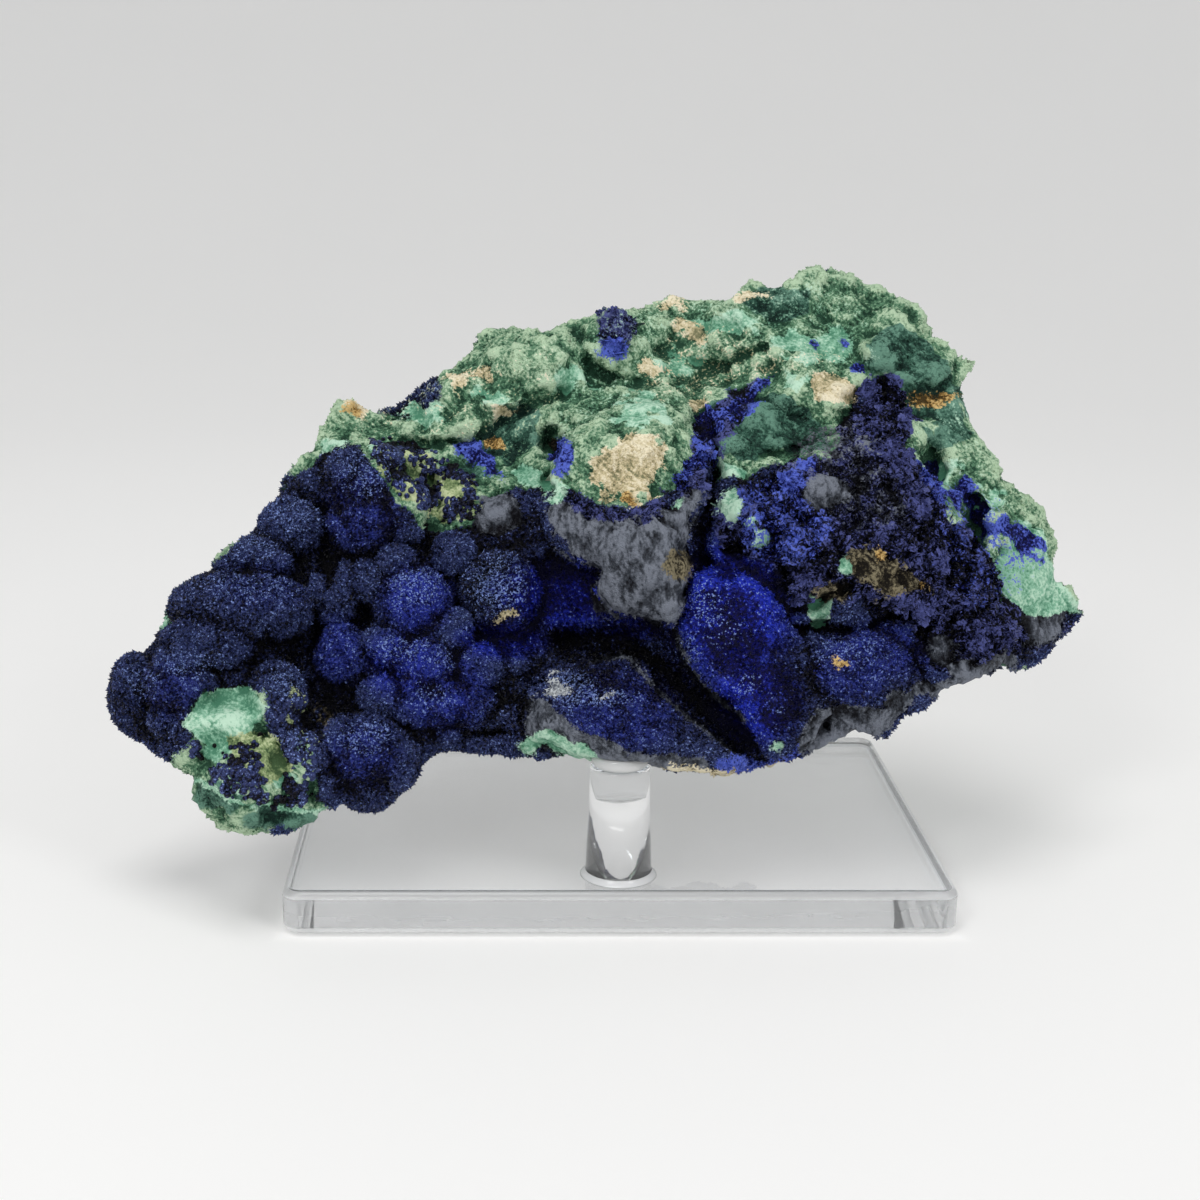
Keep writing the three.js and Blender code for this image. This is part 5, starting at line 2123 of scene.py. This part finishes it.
@dataclass
class Glue:
    """The putty pad under the stone and the ring of cement round the post's foot, in millimetres."""

    post: Place = (0.0, -35.2)
    pad_radius: float = 5.4
    pad_bottom: float = 30.55
    pad_top: float = 33.0
    pad_bulge: float = 0.8
    bulge_steps: int = 12
    ring_inner: float = 6.4
    ring_width: float = 0.9
    ring_height: float = 1.2
    ring_curve: float = 1.6
    ring_steps: int = 6
    plate_top: float = 8.55
    sides: int = 72
    pieces: list[bpy.types.Object] = field(default_factory=list)

    def build(self) -> None:
        """Make the pad, squeezed out in the middle, and the ring."""
        middle = (self.pad_bottom + self.pad_top) / 2
        half = (self.pad_top - self.pad_bottom) / 2
        pad: list[Place] = [(0, self.pad_bottom)]
        for turn in np.linspace(-math.pi / 2, math.pi / 2, self.bulge_steps + 1):
            out = self.pad_radius - self.pad_bulge * (1 - math.cos(turn))
            pad.append((out, middle + half * math.sin(turn)))
        pad.append((0, self.pad_top))
        inner = self.ring_inner
        ring: list[Place] = [(inner, self.plate_top), (inner + self.ring_width, self.plate_top)]
        for step in range(1, self.ring_steps):
            share = step / self.ring_steps
            out = inner + self.ring_width * (1 - share) ** self.ring_curve
            ring.append((out, self.plate_top + self.ring_height * share))
        ring.append((inner, self.plate_top + self.ring_height))
        self.pieces = [
            turned_object("putty_pad", pad, self.post, self.sides),
            turned_object("cement_ring", ring, self.post, self.sides),
        ]

    def dress(self) -> None:
        """Give the putty and the cement their finish."""
        for piece, look, node in zip(self.pieces, (PUTTY, CEMENT), ("adhesive_pad", "post_foot_bead")):
            piece.data.materials.append(look.build())
            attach(piece, "root")
            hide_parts(node)


@dataclass(frozen=True)
class Softbox:
    """A square lamp: where it hangs and aims, its side, its power in watts and its colour."""

    name: str
    place: Place
    aim: Place
    size: float
    power: float
    tone: Colour

    def hang(self) -> None:
        """Add the lamp to the scene."""
        light = bpy.data.lights.new(self.name, "AREA")
        light.size = self.size
        light.energy = self.power
        light.color = self.tone
        lamp = bpy.data.objects.new(self.name, light)
        lamp.location = self.place
        way = Vector(self.aim) - Vector(self.place)
        lamp.rotation_euler = way.to_track_quat("-Z", "Y").to_euler()
        bpy.context.scene.collection.objects.link(lamp)


SOFTBOXES: list[Softbox] = [
    Softbox("top_softbox", (-0.12, -0.2, 0.95), (0, 0, 0.05), 0.42, 3.2, (1, 0.99, 0.98)),
    Softbox("left_softbox", (-0.5, -0.8, 0.75), (0, 0, 0.04), 0.28, 2.7, (1, 1, 1)),
    Softbox("right_softbox", (0.55, -0.65, 0.6), (0, 0, 0.04), 0.24, 1.6, (0.98, 0.99, 1)),
]


@dataclass
class Studio:
    """Pale floor and backdrop, soft lights and the camera."""

    eye: Place = (-0.022, -0.36285, 0.15095)
    pitch: float = math.radians(15.09)
    lens: float = 55.5
    sensor: float = 36.0
    shift: float = 0.0808
    floor_drop: float = 0.0004
    floor_radius: float = 0.55
    bend: float = 1.3
    bend_steps: int = 24
    sides: int = 96
    paper: Colour = (0.765, 0.761, 0.752)
    paper_clouds: float = 6.0
    paper_dull: float = 0.97
    paper_roughness: float = 0.55
    paper_specular: float = 0.3
    paper_glow: float = 0.26
    plate_half: Place = (0.0635, 0.0445)
    plate_glow: float = 0.15
    plate_fade: float = 0.003
    room: Colour = (0.95, 0.97, 1.0)
    room_light: float = 0.38

    def backdrop(self) -> bpy.types.Object:
        """Make the round floor that sweeps up into a low wall all round the stone.

        Returns:
            The backdrop's object.
        """
        profile = arc((self.floor_radius, self.bend - self.floor_drop), self.bend, -90, 0, self.bend_steps)
        angles = [math.tau * side / self.sides for side in range(self.sides)]
        vertices = [(r * math.cos(angle), r * math.sin(angle), z) for r, z in profile for angle in angles]
        faces = [face[::-1] for face in shell_faces(len(profile), self.sides)[:-1]]
        return plain_object("studio_floor", vertices, faces)

    def paper_material(self) -> bpy.types.Material:
        """Build the backdrop's matt paper, which glows a little more under the clear plate.

        The glow stands for the light that a clear plate lets through to the paper.

        Returns:
            The material.
        """
        material, nodes, shader = new_material("backdrop_paper")
        material.cycles.emission_sampling = "NONE"
        place = nodes.add("ShaderNodeTexCoord").outputs["Object"]
        noise = nodes.add("ShaderNodeTexNoise")
        nodes.feed(noise, Vector=place, Scale=self.paper_clouds, Detail=3.0)
        dull = tuple(value * self.paper_dull for value in self.paper)
        colour = nodes.mix(noise.outputs["Fac"], (*dull, 1), (*self.paper, 1))
        nodes.feed(shader, Base_Color=colour)
        shader.inputs["Emission Color"].default_value = (*self.paper, 1)
        parts = nodes.add("ShaderNodeSeparateXYZ")
        nodes.feed(parts, Vector=place)
        sides = [
            nodes.math("SUBTRACT", nodes.math("ABSOLUTE", parts.outputs[axis]), half)
            for axis, half in zip(("X", "Y"), self.plate_half)
        ]
        away = nodes.stepped(nodes.math("MAXIMUM", *sides), -self.plate_fade, self.plate_fade)
        glow = nodes.math("MULTIPLY_ADD", away, -self.plate_glow, self.paper_glow + self.plate_glow)
        nodes.feed(shader, Emission_Strength=glow)
        shader.inputs["Roughness"].default_value = self.paper_roughness
        shader.inputs["Specular IOR Level"].default_value = self.paper_specular
        return material

    def build(self) -> None:
        """Set up the backdrop, the lights, the world and the camera."""
        floor = self.backdrop()
        floor.data.materials.append(self.paper_material())
        for softbox in SOFTBOXES:
            softbox.hang()
        world = bpy.data.worlds.new("soft_room")
        world.use_nodes = True
        background = world.node_tree.nodes["Background"]
        background.inputs["Color"].default_value = (*self.room, 1)
        background.inputs["Strength"].default_value = self.room_light
        scene = bpy.context.scene
        scene.world = world
        scene.view_settings.view_transform = "Standard"
        camera = bpy.data.cameras.new("camera")
        camera.lens = self.lens
        camera.sensor_width = self.sensor
        camera.shift_x = self.shift
        camera.clip_start = 0.01
        viewer = bpy.data.objects.new("camera", camera)
        viewer.location = self.eye
        viewer.rotation_euler = (math.pi / 2 - self.pitch, 0, 0)
        scene.collection.objects.link(viewer)
        scene.camera = viewer


BARE = {mineral.value: 0.0 for mineral in Mineral}

COATS: list[CrystalCoat] = [
    CrystalCoat(
        "azurite_druse", "grow_druse", Habit.POINT, 3.4e6, (0.0004, 0.0007), (1, 1, 1), 0.05, 1.1, 5
    ),
    CrystalCoat(
        "azurite_grains", "grow_druse", Habit.POINT, 2.8e6, (0.0006, 0.00105), (1, 1, 1), 0.05, 1.1, 45
    ),
    CrystalCoat(
        "azurite_blades", "grow_blades", Habit.BLADE, 1.3e6, (0.0005, 0.0017), (1.1, 0.25, 1), 0.0, 1.3, 15
    ),
    CrystalCoat(
        "azurite_beads", "grow_beads", Habit.BEAD, 2.4e6, (0.0007, 0.0015), (1, 1, 0.9), 0.05, 0.2, 25,
        {**BARE, "azurite": 1.0},
    ),
    CrystalCoat(
        "malachite_crust", "grow_green", Habit.POINT, 1.6e6, (0.0003, 0.0007), (1, 1, 0.7), 0.0, 1.2, 35
    ),
]


def main() -> None:
    """Build every sub-assembly in order and report its pieces."""
    logging.basicConfig(level=logging.INFO, format="%(message)s")
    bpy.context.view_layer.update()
    studio = Studio()
    studio.build()
    specimen = Specimen(StoneForm(Sheet()), COATS)
    for part in (specimen, Stand(), Glue()):
        part.build()
        part.dress()
        for piece in part.pieces:
            triangles = sum(len(polygon.vertices) - 2 for polygon in piece.data.polygons)
            log.info("%s: %d triangles", piece.name, triangles)


if __name__ == "__main__":
    main()
